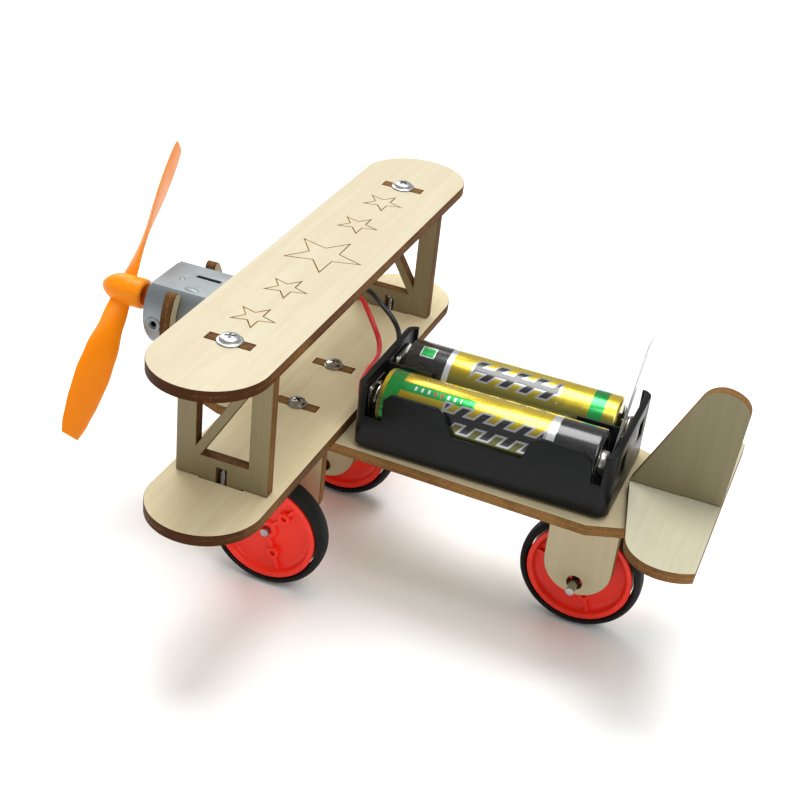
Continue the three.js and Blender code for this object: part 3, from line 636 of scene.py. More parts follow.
def make_other_materials():
    wheels = bpy.context.scene.biplane_wheels
    motor = bpy.context.scene.biplane_motor
    power = bpy.context.scene.biplane_power
    smooth_material(
        "red_hub", list(wheels.hub), 0.34, 0, 0.2, 0.1, (1.0, 0.10, 0.05),
        Specular_IOR_Level=0.3, Coat_Weight=0.1, Subsurface_Weight=0.08, Subsurface_Scale=MM,
    )
    smooth_material(
        "tyre_rubber", list(wheels.tyre), 0.62, 0, 0.4, 0.4, (0.035, 0.035, 0.034), Specular_IOR_Level=0.16
    )
    smooth_material(
        "black_holder", list(power.box), 0.32, 0, 0.25, 0.15, (0.022, 0.024, 0.026), Specular_IOR_Level=0.17
    )
    smooth_material(
        "orange_plastic", list(motor.blade), 0.36, 0, 0.12, 0.0, (1, 0.42, 0.06),
        Specular_IOR_Level=0.2, Subsurface_Weight=0.35, Subsurface_Scale=1.2 * MM,
        Subsurface_Radius=(1.0, 0.35, 0.05),
    )
    brushed("satin_can", list(motor.can), 0.52, (0.35, 3.0, 3.0))
    brushed("steel_rod", (0.38, 0.38, 0.375), 0.26, (6.0, 0.2, 6.0))
    brushed("shaft_steel", (0.56, 0.57, 0.58), 0.20, (0.2, 6.0, 6.0))
    smooth_material("zinc_plate", (0.50, 0.51, 0.52), 0.33, 1.0, 0.2, 0.1, (0.35, 0.35, 0.35))
    smooth_material("nickel_screw", (0.33, 0.315, 0.285), 0.24, 1.0, 0.3, 0.2, (0.2, 0.2, 0.19))
    smooth_material("spring_plate", (0.60, 0.57, 0.50), 0.22, 1.0, 0.4, 0.2, (0.36, 0.33, 0.26))
    smooth_material("end_cap_nylon", (0.72, 0.69, 0.62), 0.45, 0, 0.3, 0.2)
    smooth_material("copper_tag", (0.62, 0.33, 0.16), 0.28, 1.0, 0.4, 0.2)
    smooth_material("solder", (0.55, 0.55, 0.54), 0.32, 1.0, 0.2, 0.3)
    smooth_material("dark_iron", (0.07, 0.07, 0.075), 0.45, 0.7, 0.4, 0.3)
    smooth_material("foam", (0.03, 0.03, 0.03), 0.95, 0, 0.0, 1.0, (0.10, 0.10, 0.10))
    smooth_material("red_insulation", (0.62, 0.018, 0.012), 0.30, 0, 0.15, 0.15, Coat_Weight=0.2)
    smooth_material("black_insulation", (0.010, 0.010, 0.011), 0.32, 0, 0.15, 0.2, Coat_Weight=0.2)
    cell_material("sleeve_left", "battery_left", False)
    cell_material("sleeve_right", "battery_right", True)
    graph, shader, where = new_material("clear_film")
    worn = use_group(graph, "handled", Vector=where, Scuffs=0.8, Dust=0.3)
    graph.feed(shader, Base_Color=(0.34, 0.355, 0.35), Specular_IOR_Level=0.08, Roughness=0.12)
    facing = graph.add("ShaderNodeLayerWeight", {"Blend": 0.25}).outputs["Facing"]
    see = graph.plus(graph.times(facing, 0.55), graph.times(worn["Mask"], 0.10))
    graph.feed(shader, Alpha=graph.plus(see, 0.38, True))


# ---------- plywood ----------

# Each plate: the axis through its thickness, its face material and its edge material.
PLATES = {
    "upper_wing": (2, "wing_face", "brown_edge"),
    # Painted light on the lower wing's faces: its birch is lightened against the shade under the upper wing.
    "lower_wing": (2, "lower_wing_face", "brown_edge"),
    "fuselage_board": (2, "board_face", "brown_edge"),
    "stabilizer": (2, "tail_face", "brown_edge"),
    # Painted shade on the fin's and the struts' faces: their birch is darkened for the shade on their sides.
    "tail_fin": (1, "fin_face", "brown_edge"),
    "strut_left": (1, "strut_face", "dark_edge"),
    "strut_right": (1, "strut_face", "dark_edge"),
    "front_bracket_left": (1, "upright_face", "brown_edge"),
    "front_bracket_right": (1, "upright_face", "brown_edge"),
    "rear_bracket_left": (1, "upright_face", "brown_edge"),
    "rear_bracket_right": (1, "upright_face", "brown_edge"),
    "motor_cradle": (0, "upright_face", "dark_edge"),
}


NEAR = 0.1 * MM  # how close to a plate's face counts as on it


def deep_points(bm, axis, bottom, top):
    """The points between a plate's two faces, which only engraved lines have."""
    return {v for v in bm.verts if bottom + NEAR < v.co[axis] < top - NEAR}


def fringe_weights(bm, groove):
    """Marks the sharp edges to ease, leaving out the fine engraved lines."""
    weight = bm.edges.layers.float.new("bevel_weight_edge")
    for e in bm.edges:
        if len(e.link_faces) == 2 and e.calc_face_angle(0) >= math.radians(SHARP):
            e[weight] = 0 if any(v in groove for f in e.link_faces for v in f.verts) else 1


def plywood(node, axis, face, edge):
    """A plate with pale faces, laser-cut edges and a thin scorched line between them."""
    wood = bpy.context.scene.biplane_wood
    bottom, top = low(node)[axis], high(node)[axis]
    bm = merged_copy(node)
    groove = deep_points(bm, axis, bottom, top)
    for f in bm.faces:
        c = f.calc_center_median()[axis]
        on_face = abs(f.normal[axis]) > 0.9 and min(abs(c - bottom), abs(c - top)) < NEAR
        engraved = node == "upper_wing" and any(v in groove for v in f.verts)
        f.material_index = 0 if on_face else 3 if engraved else 1
    bmesh.ops.triangulate(bm, faces=bm.faces, quad_method="BEAUTY", ngon_method="BEAUTY")
    if node == "upper_wing":
        fringe_weights(bm, groove)
    names = (face, edge, "laser_line", "engraved")
    piece = object_of(f"{node}_ply", bm, names)
    piece = bevelled(piece, wood.fringe, 1, SHARP, names.index("laser_line"), node == "upper_wing")
    for polygon in piece.data.polygons:
        if abs(polygon.normal[axis]) > 0.97:
            polygon.use_smooth = False
    points = [v.co.copy() for v in piece.data.vertices]
    values = {
        "layer": [(p[axis] - bottom) / (top - bottom) for p in points],
        "burn": [tip_burn(node, p) for p in points],
    }
    for name, column in values.items():
        piece.data.attributes.new(name, "FLOAT", "POINT").data.foreach_set("value", column)
    finish(piece, "airframe", [node])


def tip_burn(node, p):
    """The laser dwells on the wings' rounded tips and leaves them darker."""
    if "wing" not in node:
        return 0.0
    start, run = 46 * MM, 12 * MM
    return 0.75 * min(1.0, max(0.0, (abs(p.y) - start) / run))


# ---------- wheels ----------


def tyre(name, node, body):
    """A tyre with rounded shoulders, a low bead and a moulding line round its tread."""
    size = (high(node) - low(node)) / MM
    r, half = size.z / 2, size.y / 2
    inner = 12.63  # radius of the bead
    profile = [
        (inner, half - 0.35), (inner - 0.35, 0), (inner, -half + 0.35), (inner + 0.35, -half),
        (r - 1.0, -half), (r - 0.25, -half + 0.75), (r - 0.03, -0.9), (r - 0.02, -0.08), (r, -0.05),
        (r, 0.05), (r - 0.02, 0.08), (r - 0.03, 0.9), (r - 0.25, half - 0.75), (r - 1.0, half),
        (inner + 0.35, half),
    ]
    ring = closed_ring(profile, 0.5, 4)
    piece = turned(name, ring, "Y", middle(node), ["tyre_rubber"], 96, 50)
    finish(piece, body, [node])


def hub_profile(half, sleeve):
    """The hub's section: sleeve, thin web, dished wall and rolled rim."""
    return [
        (1.03, -sleeve), (2.35, -sleeve), (2.4, -0.4), (9.9, -0.4), (10.7, -1.0), (11.0, -half + 0.35),
        (12.3, -half + 0.25), (12.0, 0), (12.3, half - 0.25), (11.0, half - 0.15), (10.6, 1.1),
        (9.8, 0.6), (2.7, 0.6), (2.3, half - 0.95), (1.03, half - 0.95),
    ]


def geometry_tree(name, inputs):
    """A tree from one geometry to another, with a material input after its own."""
    inputs = [("Geometry", "Geometry", None), *inputs, ("Material", "Material", None)]
    return node_group(name, "GeometryNodeTree", inputs, [("Geometry", "Geometry")])


def grown(piece, tree, smooth_angle=35, **values):
    """Runs a tree on a piece with its named inputs set, and keeps the plain mesh."""
    modifier = piece.modifiers.new("Grow", "NODES")
    modifier.node_group = tree
    for item in tree.interface.items_tree:
        if item.in_out == "INPUT" and item.name in values:
            modifier[item.identifier] = values[item.name]
    return applied(piece, smooth_angle)


def paint_out(graph, geometry, given, out):
    """Makes a tree's result real, gives it the named material and sends it out."""
    real = graph.add("GeometryNodeRealizeInstances", {0: geometry})
    painted = graph.add("GeometryNodeSetMaterial", {0: real.outputs[0], "Material": given["Material"]})
    graph.feed(out, Geometry=painted.outputs[0])


def swept(graph, curve, radius, sides):
    """A round section carried along a curve."""
    section = graph.add("GeometryNodeCurvePrimitiveCircle", {"Resolution": sides, "Radius": radius})
    inputs = {"Curve": curve, "Profile Curve": section.outputs[0], "Fill Caps": True}
    return graph.add("GeometryNodeCurveToMesh", inputs).outputs[0]


TREES = {}


def copies_tree():
    """Sets copies of one part on the points of a mesh, each turned as its point says."""
    inputs = [("Part", "Object", None), ("Size", "Float", 1.0)]
    tree, graph, given, out = geometry_tree("Copies on points", inputs)
    info = graph.add("GeometryNodeObjectInfo", {"Object": given["Part"]}, transform_space="ORIGINAL")
    turn = graph.add("GeometryNodeInputNamedAttribute", {"Name": "turn"}, data_type="FLOAT_VECTOR")
    turn_to = graph.add("FunctionNodeEulerToRotation", {0: turn.outputs[0]})
    size = graph.add("ShaderNodeCombineXYZ", {0: given["Size"], 1: given["Size"], 2: given["Size"]})
    placed = {"Points": given["Geometry"], "Instance": info.outputs["Geometry"]}
    placed |= {"Rotation": turn_to.outputs[0], "Scale": size.outputs[0]}
    instances = graph.add("GeometryNodeInstanceOnPoints", placed)
    clean = graph.add("GeometryNodeRemoveAttribute", {0: instances.outputs[0], "Name": "turn"})
    paint_out(graph, clean.outputs[0], given, out)
    return tree


def wire_tree():
    """A round wire along a curve."""
    inputs = [("Radius", "Float", 0.5 * MM), ("Step", "Float", 0.5 * MM), ("Sides", "Int", 16)]
    tree, graph, given, out = geometry_tree("Wire on a path", inputs)
    path = {"Curve": given["Geometry"], "Length": given["Step"]}
    spaced = graph.add("GeometryNodeResampleCurve", path, mode="LENGTH")
    wire = swept(graph, spaced.outputs[0], given["Radius"], given["Sides"])
    paint_out(graph, wire, given, out)
    return tree


def spring_tree():
    """A coned coil of round wire along Z."""
    sizes = {"Start Radius": 3.6 * MM, "End Radius": 1.9 * MM, "Height": 2 * MM}
    inputs = {"Rotations": 3.0, **sizes, "Wire": 0.25 * MM}
    inputs = [(label, "Float", default) for label, default in inputs.items()]
    tree, graph, given, out = geometry_tree("Coned spring", inputs)
    shape = {label: given[label] for label in ("Rotations", *sizes)}
    coil = graph.add("GeometryNodeCurveSpiral", {"Resolution": 32, **shape})
    paint_out(graph, swept(graph, coil.outputs[0], given["Wire"], 12), given, out)
    return tree


def on_points(name, part, spots, material, smooth_angle=35):
    """Copies of a part at (place, turn) spots as one piece; the pattern part is then removed."""
    mesh = bpy.data.meshes.new(name)
    mesh.from_pydata([tuple(place) for place, _ in spots], [], [])
    turns = mesh.attributes.new("turn", "FLOAT_VECTOR", "POINT")
    turns.data.foreach_set("vector", [c for _, turn in spots for c in turn])
    inputs = {"Part": part, "Size": 1.0, "Material": MATERIALS[material]}
    piece = grown(linked(name, mesh), TREES["copies"], smooth_angle, **inputs)
    bpy.data.objects.remove(part)
    return piece


HUB_HALF = 2.7  # half the hub's width at its rim
FRONT_SLEEVE = 9.15  # how far a hub's sleeve runs in along its axle
REAR_SLEEVE = 3.1


def hub(name, node, body, outward, sleeve):
    """A dished hub with ringed pegs and short webs that repeat round its outer face."""
    wheels = bpy.context.scene.biplane_wheels
    plane = middle(node.replace("hub", "tyre"))
    profile = closed_ring(hub_profile(HUB_HALF, sleeve), 0.35, 3)
    turned_profile = [(r, h * outward) for r, h in profile]
    dish = turned(name, turned_profile, "Y", plane, ["red_hub"], 96)
    bm = bmesh.new()
    peg = [(0, 0.2), (1.55, 0.2), (1.45, 1.75), (1.3, 1.9), (0.85, 1.9), (0.7, 1.75), (0.7, 1.1), (0, 1.1)]
    add_turned(bm, peg, "Z", Vector((0, 0, 0)), 28)
    for inner, outer in ((-4.0, -1.2), (1.2, 4.6)):
        rib = bmesh.ops.create_cube(bm, size=1)["verts"]
        span = (outer - inner) * MM
        bmesh.ops.scale(bm, vec=(span, 0.8 * MM, 1.3 * MM), verts=rib)
        bmesh.ops.translate(bm, vec=((inner + outer) / 2 * MM, 0, 0.85 * MM), verts=rib)
    part = object_from(f"{name}_peg", bm, ["red_hub"])
    spots = []
    for i in range(wheels.pegs):
        a = math.radians(12) + 2 * math.pi * i / wheels.pegs
        out = Vector((math.cos(a), 0, math.sin(a)))
        up = Vector((0, outward, 0))
        basis = Matrix((out, up.cross(out), up)).transposed()
        spots.append((plane + out * wheels.peg_circle, basis.to_euler()))
    fittings = on_points(f"{name}_pegs", part, spots, "red_hub")
    finish(dish, body, [node])
    finish(fittings, body)


ROD_R = 1.0  # axles and motor shaft


def rod(name, node, axis, material, body, ease, steps):
    """A plain rod along an axis with eased ends."""
    half = max(high(node) - low(node)) / MM / 2
    profile = rounded([(0, -half), (ROD_R, -half), (ROD_R, half), (0, half)], ease, steps)
    piece = turned(name, profile, axis, middle(node), [material], 40, 50)
    finish(piece, body, [node])


# ---------- screws ----------

SCREW_HEAD = 1.35 * MM  # height of a head above its seat
HEAD_ANGLE = 28  # degrees: the sharpest edge on a head that still shades as smooth


def screw_part(name, length, flange, cap, shank=0.95):
    """A cross-head screw along -Z with rolled threads, its seat at the origin."""
    profile = [(0, -length), (shank - 0.55, -length)]
    pitch = 0.62
    turns = int((length - 0.8) / pitch)
    for i in range(turns):
        z = -length + 0.5 + i * pitch
        profile += [(shank - 0.28, z), (shank, z + pitch * 0.45), (shank - 0.28, z + pitch * 0.9)]
    profile += [(shank - 0.1, -0.02), (flange - 0.1, 0.0), (flange, 0.12), (flange - 0.04, 0.30)]
    profile += [(flange - 0.16, 0.38), (cap + 0.10, 0.42), (cap, 0.50), (cap - 0.04, 0.80)]
    profile += [(cap - 0.18, 1.02), (cap * 0.70, 1.22), (cap * 0.35, 1.32), (0, 1.34)]
    bm = bmesh.new()
    add_turned(bm, profile, "Z", Vector((0, 0, 0)), 48)
    head = object_from(name, bm, [], HEAD_ANGLE)
    for i in range(2):
        bm = bmesh.new()
        slot = bmesh.ops.create_cube(bm, size=1)["verts"]
        bmesh.ops.scale(bm, vec=(cap * 1.55 * MM, 0.72 * MM, 1.9 * MM), verts=slot)
        for v in slot:
            if v.co.z < 0:
                v.co.x *= 0.45
                v.co.y *= 0.6
        quarter = Matrix.Rotation(i * math.pi / 2, 3, "Z")
        bmesh.ops.rotate(bm, verts=slot, cent=(0, 0, 0), matrix=quarter)
        bmesh.ops.translate(bm, vec=(0, 0, 1.35 * MM), verts=slot)
        head = combined(head, object_from(f"{name}_cut", bm, []), "DIFFERENCE", HEAD_ANGLE)
    return head


def screws(kind, sizes, turns, material, down=True):
    """A pair of like screws, left and right, each turned its own way; down when driven from above."""
    nodes = [f"{kind}_screw_{side}" for side, _ in SIDES]
    part = screw_part(f"{kind}_screw_part", *sizes)
    spots = []
    for node, turn in zip(nodes, turns):
        spot = middle(node)
        spot.z = high(node).z - SCREW_HEAD if down else low(node).z + SCREW_HEAD
        spots.append((spot, (0 if down else math.pi, 0, turn)))
    piece = on_points(f"{kind}_screws", part, spots, material, HEAD_ANGLE)
    finish(piece, "airframe", nodes)


# ---------- motor and propeller ----------


def bevelled_copy(name, node, material, width, slot, segments=2, body="airframe", angle=SHARP):
    """A solid's own shape with its edges eased."""
    piece = object_of(name, merged_copy(node), [material])
    finish(bevelled(piece, width, segments, angle), body, [node])


def blob(bm, centre, radii, rings=10, segments=18):
    """A closed rounded bead."""
    made = bmesh.ops.create_uvsphere(bm, u_segments=segments, v_segments=rings, radius=1)["verts"]
    bmesh.ops.scale(bm, vec=[r * MM for r in radii], verts=made)
    bmesh.ops.translate(bm, vec=centre, verts=made)


# Chord against radius along a blade, eased between stations.
BLADE_CHORD = ((2, 4.6), (9, 6.3), (16, 9.9), (22, 11.6), (28, 11.2), (33, 9.6), (37.3, 7.4))
BLADE_ROOT = 2.0
BLADE_TIP = 37.2
SPINNER = 11.5 * MM  # the spinner's length
BLADE_SET = 6.0 * MM  # from the spinner's tip back to the blades' middles


def chord_at(r):
    for (r0, c0), (r1, c1) in zip(BLADE_CHORD, BLADE_CHORD[1:]):
        if r <= r1:
            t = (r - r0) / (r1 - r0)
            s = t * t * (3 - 2 * t) * 0.5 + t * 0.5
            return c0 + (c1 - c0) * s
    return BLADE_CHORD[-1][1]


def towards_tip(r, start):
    """0 up to a radius, then rising to 1 at the blade's tip."""
    return max(0, (r - start) / (BLADE_TIP - start)) ** 2


def blade(name, angle, hub_x, pitch):
    """One blade: an aerofoil section lofted along the radius at a constant pitch."""
    bm = bmesh.new()
    stations = 44
    around = 12
    across = [-0.5 + k / around for k in range(around + 1)]
    outline = [(u, 1) for u in across] + [(u, -1) for u in across[-2:0:-1]]
    spin = Matrix.Rotation(angle, 3, "X")
    rings = []
    for i in range(stations + 1):
        t = i / stations
        r = BLADE_ROOT + t * (BLADE_TIP - BLADE_ROOT)
        twist = math.atan2(pitch, 2 * math.pi * r)
        chord = chord_at(r) * (1 - 0.10 * towards_tip(r, 34.5))
        full = 1.55 - r / BLADE_TIP
        ring = []
        for u, side in outline:
            hump = max(0.0, 1 - (2 * u) ** 2) ** 0.6
            thick = (0.16 + 0.95 * full * hump) * (0.62 if side > 0 else 0.38)
            tip = 0.5 * (u + 0.5) * towards_tip(r, 30)
            along, up = u * chord, side * thick
            x = along * math.sin(twist) - up * math.cos(twist)
            z = along * math.cos(twist) + up * math.sin(twist)
            spot = Vector((x, r - tip, z))
            ring.append(bm.verts.new(Vector((hub_x, 0, SHAFT.z)) + (spin @ spot) * MM))
        rings.append(ring)
    skin(bm, rings)
    bm.faces.new(rings[0])
    bm.faces.new(list(reversed(rings[-1])))
    return object_from(name, bm, ["orange_plastic"], 60)


def propeller():
    """A spinner with a bore for the shaft, and two blades joined to it."""
    motor = bpy.context.scene.biplane_motor
    tip = high("propeller").x
    profile = [
        (1.04, 6.2), (1.04, 2.2), (2.5, 2.0), (2.6, 0.0), (3.35, 0.0), (3.6, 0.25), (3.65, 5.4),
        (3.55, 6.6), (3.3, 7.7), (2.9, 8.7), (2.3, 9.7), (1.6, 10.5), (0.9, 11.1), (0.35, 11.42),
        (0, 11.48), (0, 6.2),
    ]
    back = Vector((tip - SPINNER, SHAFT.y, SHAFT.z))
    spinner = turned("propeller_orange", profile, "X", back, ["orange_plastic"], 64, 50)
    for i, turn in enumerate((-48.5, 131.5)):
        one = blade(f"blade_{i}", math.radians(turn), tip - BLADE_SET, motor.pitch / MM)
        spinner = combined(spinner, one, "UNION", 50)
    finish(spinner, "propeller_assembly", ["propeller"])


# ---------- battery holder and leads ----------


def cell(name, node, material, nose_first):
    """A cell: its flat end, crimped shoulders and nub, from one profile."""
    end = CELL_BODY + CELL_NUB
    profile = [
        (0, 0.35), (4.6, 0.35), (5.4, 0.18), (5.6, 0.0), (6.55, 0.0), (6.95, 0.18), (CELL_R, 0.55),
        (CELL_R, CELL_BODY - 0.75), (7.0, CELL_BODY - 0.35), (6.6, CELL_BODY - 0.05),
        (5.6, CELL_BODY), (4.6, CELL_BODY - 0.18), (3.0, CELL_BODY - 0.14), (2.72, CELL_BODY),
        (2.66, end - 0.35), (2.4, end - 0.06), (1.9, end), (0, end),
    ]
    centre = middle(node)
    centre.x = high(node).x
    if nose_first:
        centre.x -= end * MM
    else:
        profile = [(r, -h) for r, h in profile]
    piece = turned(name, profile, "X", centre, [material], 96, 40)
    finish(piece, f"{node.split('_')[1]}_cell", [node])


def spring(name, node, forwards):
    """A contact spring, wide end on its sheet; forwards when it points to +X."""
    wire = bpy.context.scene.biplane_power.spring_wire
    a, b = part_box(node)
    inputs = {
        "Rotations": 3.5,
        "Start Radius": 3.45 * MM,
        "End Radius": 1.9 * MM,
        "Height": (b.x - a.x) - 2 * wire,
        "Wire": wire,
        "Material": MATERIALS["spring_plate"],
    }
    piece = grown(linked(name, bpy.data.meshes.new(name)), TREES["spring"], 60, **inputs)
    way = 1 if forwards else -1
    lying = Matrix(((0, 0, way), (0, 1, 0), (-way, 0, 0)))
    start = middle("battery_left" if "front" in node else "battery_right")
    start.x = a.x + wire if forwards else b.x - wire
    piece.data.transform(Matrix.Translation(start) @ lying.to_4x4())
    finish(piece, "airframe", [node])


# Each lead's way from its motor tag to the holder, in the frame that at() reads.
RED_ROUTE = (
    (11.2, 6.3, 51.9), (8.8, 6.0, 52.1), (4.6, 0.5, 55.4), (0.4, -9.6, 58.8), (-3, -14.2, 58.6),
    (-6, -12.4, 57.2), (-8.6, -10.8, 54.6), (-10.4, -10.3, 51.4), (-11.4, -8.6, 49.4),
    (-12.2, -4.4, 49.2), (-12.9, 1.4, 50.1), (-13.4, 5.8, 49.4), (-14, 7.3, 46.6),
    (-15.2, 7.6, 45.1), (-17.1, 7.6, 44.95),
)
BLACK_ROUTE = (
    (11.2, -6.3, 51.9), (8.8, -7.2, 52.1), (4.4, -12.4, 55.6), (0, -17.6, 58.2), (-3.4, -19.2, 58.2),
    (-7, -18.2, 56.4), (-10.4, -18, 53.6), (-12.6, -17.6, 50.2), (-13.6, -14.6, 46.6),
    (-14, -10.4, 44.6), (-15.2, -8.0, 45.05), (-17.1, -7.6, 44.95),
)


def smooth_route(points, per_span=8):
    """Points on a smooth curve through the given ones."""
    result = []
    ends = [points[0] * 2 - points[1], *points, points[-1] * 2 - points[-2]]
    for p0, p1, p2, p3 in zip(ends, ends[1:], ends[2:], ends[3:]):
        for k in range(per_span):
            t = k / per_span
            a = p1 * 2
            b = (p2 - p0) * t
            c = (p0 * 2 - p1 * 5 + p2 * 4 - p3) * t * t
            d = (p1 * 3 - p0 - p2 * 3 + p3) * t * t * t
            result.append((a + b + c + d) / 2)
    result.append(points[-1])
    return result


def lead(colour, route):
    """An insulated lead along a route in the frame that at() reads."""
    points = smooth_route([at(*p) for p in route])
    curve = bpy.data.curves.new(f"{colour}_wire", "CURVE")
    curve.dimensions = "3D"
    spline = curve.splines.new("POLY")
    spline.points.add(len(points) - 1)
    for spot, p in zip(spline.points, points):
        spot.co = (*p, 1)
    radius = bpy.context.scene.biplane_power.lead
    inputs = {"Radius": radius, "Step": 0.4 * MM, "Sides": 20, "Material": MATERIALS[f"{colour}_insulation"]}
    piece = grown(linked(f"{colour}_wire", curve), TREES["wire"], 60, **inputs)
    finish(piece, "airframe", [f"{colour}_lead"])


# ---------- stage ----------


def aim(obj, place, target, roll=0.0):
    """Puts a lamp or camera at a place, looking at a target."""
    obj.location = place
    back = (Vector(place) - Vector(target)).normalized()
    right = Vector((0, 0, 1)).cross(back).normalized()
    up = back.cross(right)
    x = right * math.cos(roll) + up * math.sin(roll)
    y = up * math.cos(roll) - right * math.sin(roll)
    obj.rotation_euler = Matrix((x, y, back)).transposed().to_euler()


def area_light(name, place, target, size, power):
    light = bpy.data.lights.new(name, "AREA")
    light.shape = "RECTANGLE"
    light.size, light.size_y = size
    light.energy = power
    aim(linked(name, light), place, target)


# ---------- operators ----------


class BIPLANE_OT_materials(bpy.types.Operator):
    """Makes the shared node groups, the geometry trees and every material"""

    bl_idname = "biplane.materials"
    bl_label = "Materials"

    def execute(self, context):
        make_groups()
        TREES["copies"] = copies_tree()
        TREES["wire"] = wire_tree()
        TREES["spring"] = spring_tree()
        make_wood_materials()
        make_other_materials()
        return {"FINISHED"}


class BIPLANE_OT_plywood(bpy.types.Operator):
    """Wings, struts, board, brackets, cradle and tail"""

    bl_idname = "biplane.plywood"
    bl_label = "Plywood plates"

    def execute(self, context):
        for node, (axis, face, edge) in PLATES.items():
            plywood(node, axis, face, edge)
        return {"FINISHED"}


class BIPLANE_OT_wheels(bpy.types.Operator):
    """Tyres, dished hubs and axles"""

    bl_idname = "biplane.wheels"
    bl_label = "Wheels"

    def execute(self, context):
        for side, sign in SIDES:
            tyre(f"front_{side}_rubber", f"front_tyre_{side}", "front_wheels")
            hub(f"front_{side}_dish", f"front_hub_{side}", "front_wheels", sign, FRONT_SLEEVE)
        tyre("rear_rubber", "rear_tyre", "rear_wheel")
        hub("rear_dish", "rear_hub", "rear_wheel", 1, REAR_SLEEVE)
        rod("front_rod", "front_axle", "Y", "steel_rod", "front_wheels", 0.22, 4)
        rod("rear_rod", "rear_axle", "Y", "steel_rod", "rear_wheel", 0.22, 4)
        return {"FINISHED"}


class BIPLANE_OT_screws(bpy.types.Operator):
    """The cross-head screws that hold the wings, struts and brackets"""

    bl_idname = "biplane.screws"
    bl_label = "Screws"

    def execute(self, context):
        screws("wing", (5.0, 2.75, 2.1), (0.35, 1.1), "zinc_plate")
        screws("bracket", (7.7, 2.3, 1.95), (0.9, 0.2), "nickel_screw")
        screws("strut", (5.5, 2.25, 1.95), (0.2, 0.7), "nickel_screw", False)
        return {"FINISHED"}


class BIPLANE_OT_motor(bpy.types.Operator):
    """Motor can, end cap, shaft, tags and what is inside"""

    bl_idname = "biplane.motor"
    bl_label = "Motor"

    def execute(self, context):
        bevelled_copy("can_shell", "motor_can", "satin_can", 0.6 * MM, "motor_can", 4)
        bevelled_copy("end_cap", "motor_end_cap", "end_cap_nylon", 0.3 * MM, "motor_cap")
        # Two raised dimples on the can's top, and a ring round the hole in each of its sides.
        bm = bmesh.new()
        top = high("motor_can").z
        blob(bm, Vector((WING_X + 30.0 * MM, 5.0 * MM, top - 0.10 * MM)), (1.9, 0.9, 0.40))
        blob(bm, Vector((WING_X + 34.6 * MM, 1.2 * MM, top - 0.12 * MM)), (0.7, 0.7, 0.34))
        for _, sign in SIDES:
            ring = [(1.0, -0.2), (1.9, -0.2), (1.85, 0.16), (1.6, 0.30), (1.2, 0.30), (1.0, 0.16)]
            ring = [(r, h * sign) for r, h in [*ring, ring[0]]]
            spot = Vector((WING_X + 37 * MM, sign * 9.95 * MM, SHAFT.z - 1 * MM))
            add_turned(bm, ring, "Y", spot, 28)
        dimples = object_from("can_dimples", bm, ["satin_can"], 60)
        finish(dimples, "airframe")
        rod("shaft_rod", "motor_shaft", "X", "shaft_steel", "propeller_assembly", 0.2, 3)
        spun = {"body": "propeller_assembly"}
        bevelled_copy("rotor_core", "armature", "dark_iron", 0.15 * MM, "magnet", **spun)
        bevelled_copy("rotor_sleeve", "commutator", "copper_tag", 0.1 * MM, "copper", **spun)
        for side, _ in SIDES:
            block = f"magnet_{side}"
            bevelled_copy(f"field_{block}", block, "dark_iron", 0.15 * MM, "magnet")
            tag = f"motor_terminal_{side}"
            bevelled_copy(f"tag_{side}", tag, "copper_tag", 0.06 * MM, "copper", 1)
            bm = bmesh.new()
            spot = middle(tag) + Vector((-1.1 * MM, 0, 0))
            blob(bm, spot, (1.0, 0.62, 0.85))
            bead = object_from(f"solder_{side}", bm, ["solder"], 60)
            finish(bead, "airframe")
        propeller()
        return {"FINISHED"}


class BIPLANE_OT_power(bpy.types.Operator):
    """Battery holder, cells, contacts, springs, pull tab and leads"""

    bl_idname = "biplane.power"
    bl_label = "Battery holder"

    def execute(self, context):
        bevelled_copy("holder", "battery_box", "black_holder", 0.22 * MM, "box", 2, angle=30)
        bevelled_copy("holder_pad", "box_pad", "foam", 0.2 * MM, "pad")
        cell("cell_left", "battery_left", "sleeve_left", False)
        cell("cell_right", "battery_right", "sleeve_right", True)
        for node in ("front_contact_left", "front_contact_right", "rear_contact"):
            bevelled_copy(f"{node}_sheet", node, "spring_plate", 0.08 * MM, "tin", 1)
        spring("front_coil", "front_spring", False)
        spring("rear_coil", "rear_spring", True)
        bevelled_copy("film_tab", "pull_tab", "clear_film", 0.03 * MM, "clear", 1, body="pull_tab")
        lead("red", RED_ROUTE)
        lead("black", BLACK_ROUTE)
        return {"FINISHED"}


TARGET = (-17.35, -9.92, 37.49)  # what the camera looks at, in the frame that at() reads
AZIMUTH = math.radians(18.66)  # the camera's turn from straight port towards the tail
ELEVATION = math.radians(30.98)
ROLL = math.radians(6.55)
DISTANCE = 0.3435


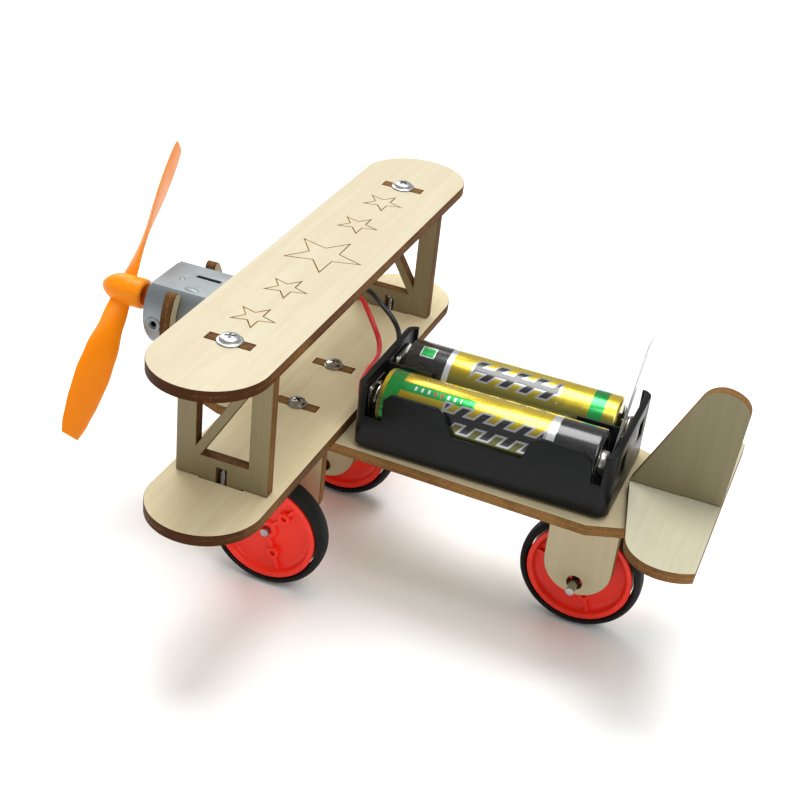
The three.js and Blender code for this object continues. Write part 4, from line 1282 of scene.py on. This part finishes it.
class BIPLANE_OT_stage(bpy.types.Operator):
    """Floor, soft light and camera"""

    bl_idname = "biplane.stage"
    bl_label = "Stage"

    def execute(self, context):
        scene = context.scene
        bm = bmesh.new()
        bmesh.ops.create_grid(bm, x_segments=1, y_segments=1, size=6)
        floor = object_from("floor", bm, [])
        floor.location.z = -0.2 * MM
        graph, shader, where = new_material("pale_floor")
        cloud = graph.noise(where, 3.0, 2)
        pale = graph.mix(cloud, (0.95, 0.95, 0.95), (0.97, 0.97, 0.97))
        graph.feed(shader, Base_Color=pale, Roughness=0.9, Specular_IOR_Level=0.1)
        floor.data.materials.append(MATERIALS["pale_floor"])
        world = bpy.data.worlds.new("Studio")
        world.use_nodes = True
        sky = world.node_tree.nodes["Background"].inputs
        sky["Color"].default_value = (1, 1, 1, 1)
        sky["Strength"].default_value = 0.42
        scene.world = world
        target = at(*TARGET)
        sun = linked("sky", bpy.data.lights.new("sky", "SUN"))
        sun.data.energy = 2.45
        sun.data.angle = math.radians(35)
        aim(sun, (0.05, -0.25, 1.0), (0, 0, 0))
        area_light("strip", (-0.35, 0.20, 0.55), target, (0.25, 0.5), 1.6)
        area_light("rim", (0.5, -0.5, 0.5), target, (0.5, 0.4), 2.0)
        camera = linked("camera", bpy.data.cameras.new("camera"))
        camera.data.lens = 66.2
        camera.data.sensor_width = 36
        camera.data.clip_start = 0.01
        camera.data.clip_end = 20
        level = math.cos(ELEVATION)
        back = Vector((-math.sin(AZIMUTH) * level, math.cos(AZIMUTH) * level, math.sin(ELEVATION)))
        aim(camera, target + back * DISTANCE, target, ROLL)
        scene.camera = camera
        scene.view_settings.view_transform = "Standard"
        return {"FINISHED"}


OPERATORS = (
    BIPLANE_OT_materials,
    BIPLANE_OT_plywood,
    BIPLANE_OT_wheels,
    BIPLANE_OT_screws,
    BIPLANE_OT_motor,
    BIPLANE_OT_power,
    BIPLANE_OT_stage,
)
GROUPS_OF_SETTINGS = {
    "biplane_wood": BiplaneWood,
    "biplane_wheels": BiplaneWheels,
    "biplane_motor": BiplaneMotor,
    "biplane_power": BiplanePower,
}


class BIPLANE_PT_panel(bpy.types.Panel):
    """Settings and build buttons"""

    bl_idname = "BIPLANE_PT_panel"
    bl_label = "Biplane"
    bl_space_type = "VIEW_3D"
    bl_region_type = "UI"
    bl_category = "Biplane"

    def draw(self, context):
        for key in GROUPS_OF_SETTINGS:
            settings = getattr(context.scene, key)
            box = self.layout.box()
            for name in settings.bl_rna.properties.keys():
                if name not in {"rna_type", "name"}:
                    box.prop(settings, name)
        for operator in OPERATORS:
            self.layout.operator(operator.bl_idname)


def register():
    for cls in (*GROUPS_OF_SETTINGS.values(), *OPERATORS, BIPLANE_PT_panel):
        bpy.utils.register_class(cls)
    for key, cls in GROUPS_OF_SETTINGS.items():
        setattr(bpy.types.Scene, key, bpy.props.PointerProperty(type=cls))


def unregister():
    for key in GROUPS_OF_SETTINGS:
        delattr(bpy.types.Scene, key)
    for cls in (BIPLANE_PT_panel, *OPERATORS, *GROUPS_OF_SETTINGS.values()):
        bpy.utils.unregister_class(cls)


def main():
    register()
    for operator in OPERATORS:
        group, name = operator.bl_idname.split(".")
        getattr(getattr(bpy.ops, group), name)()


if __name__ == "__main__":
    main()
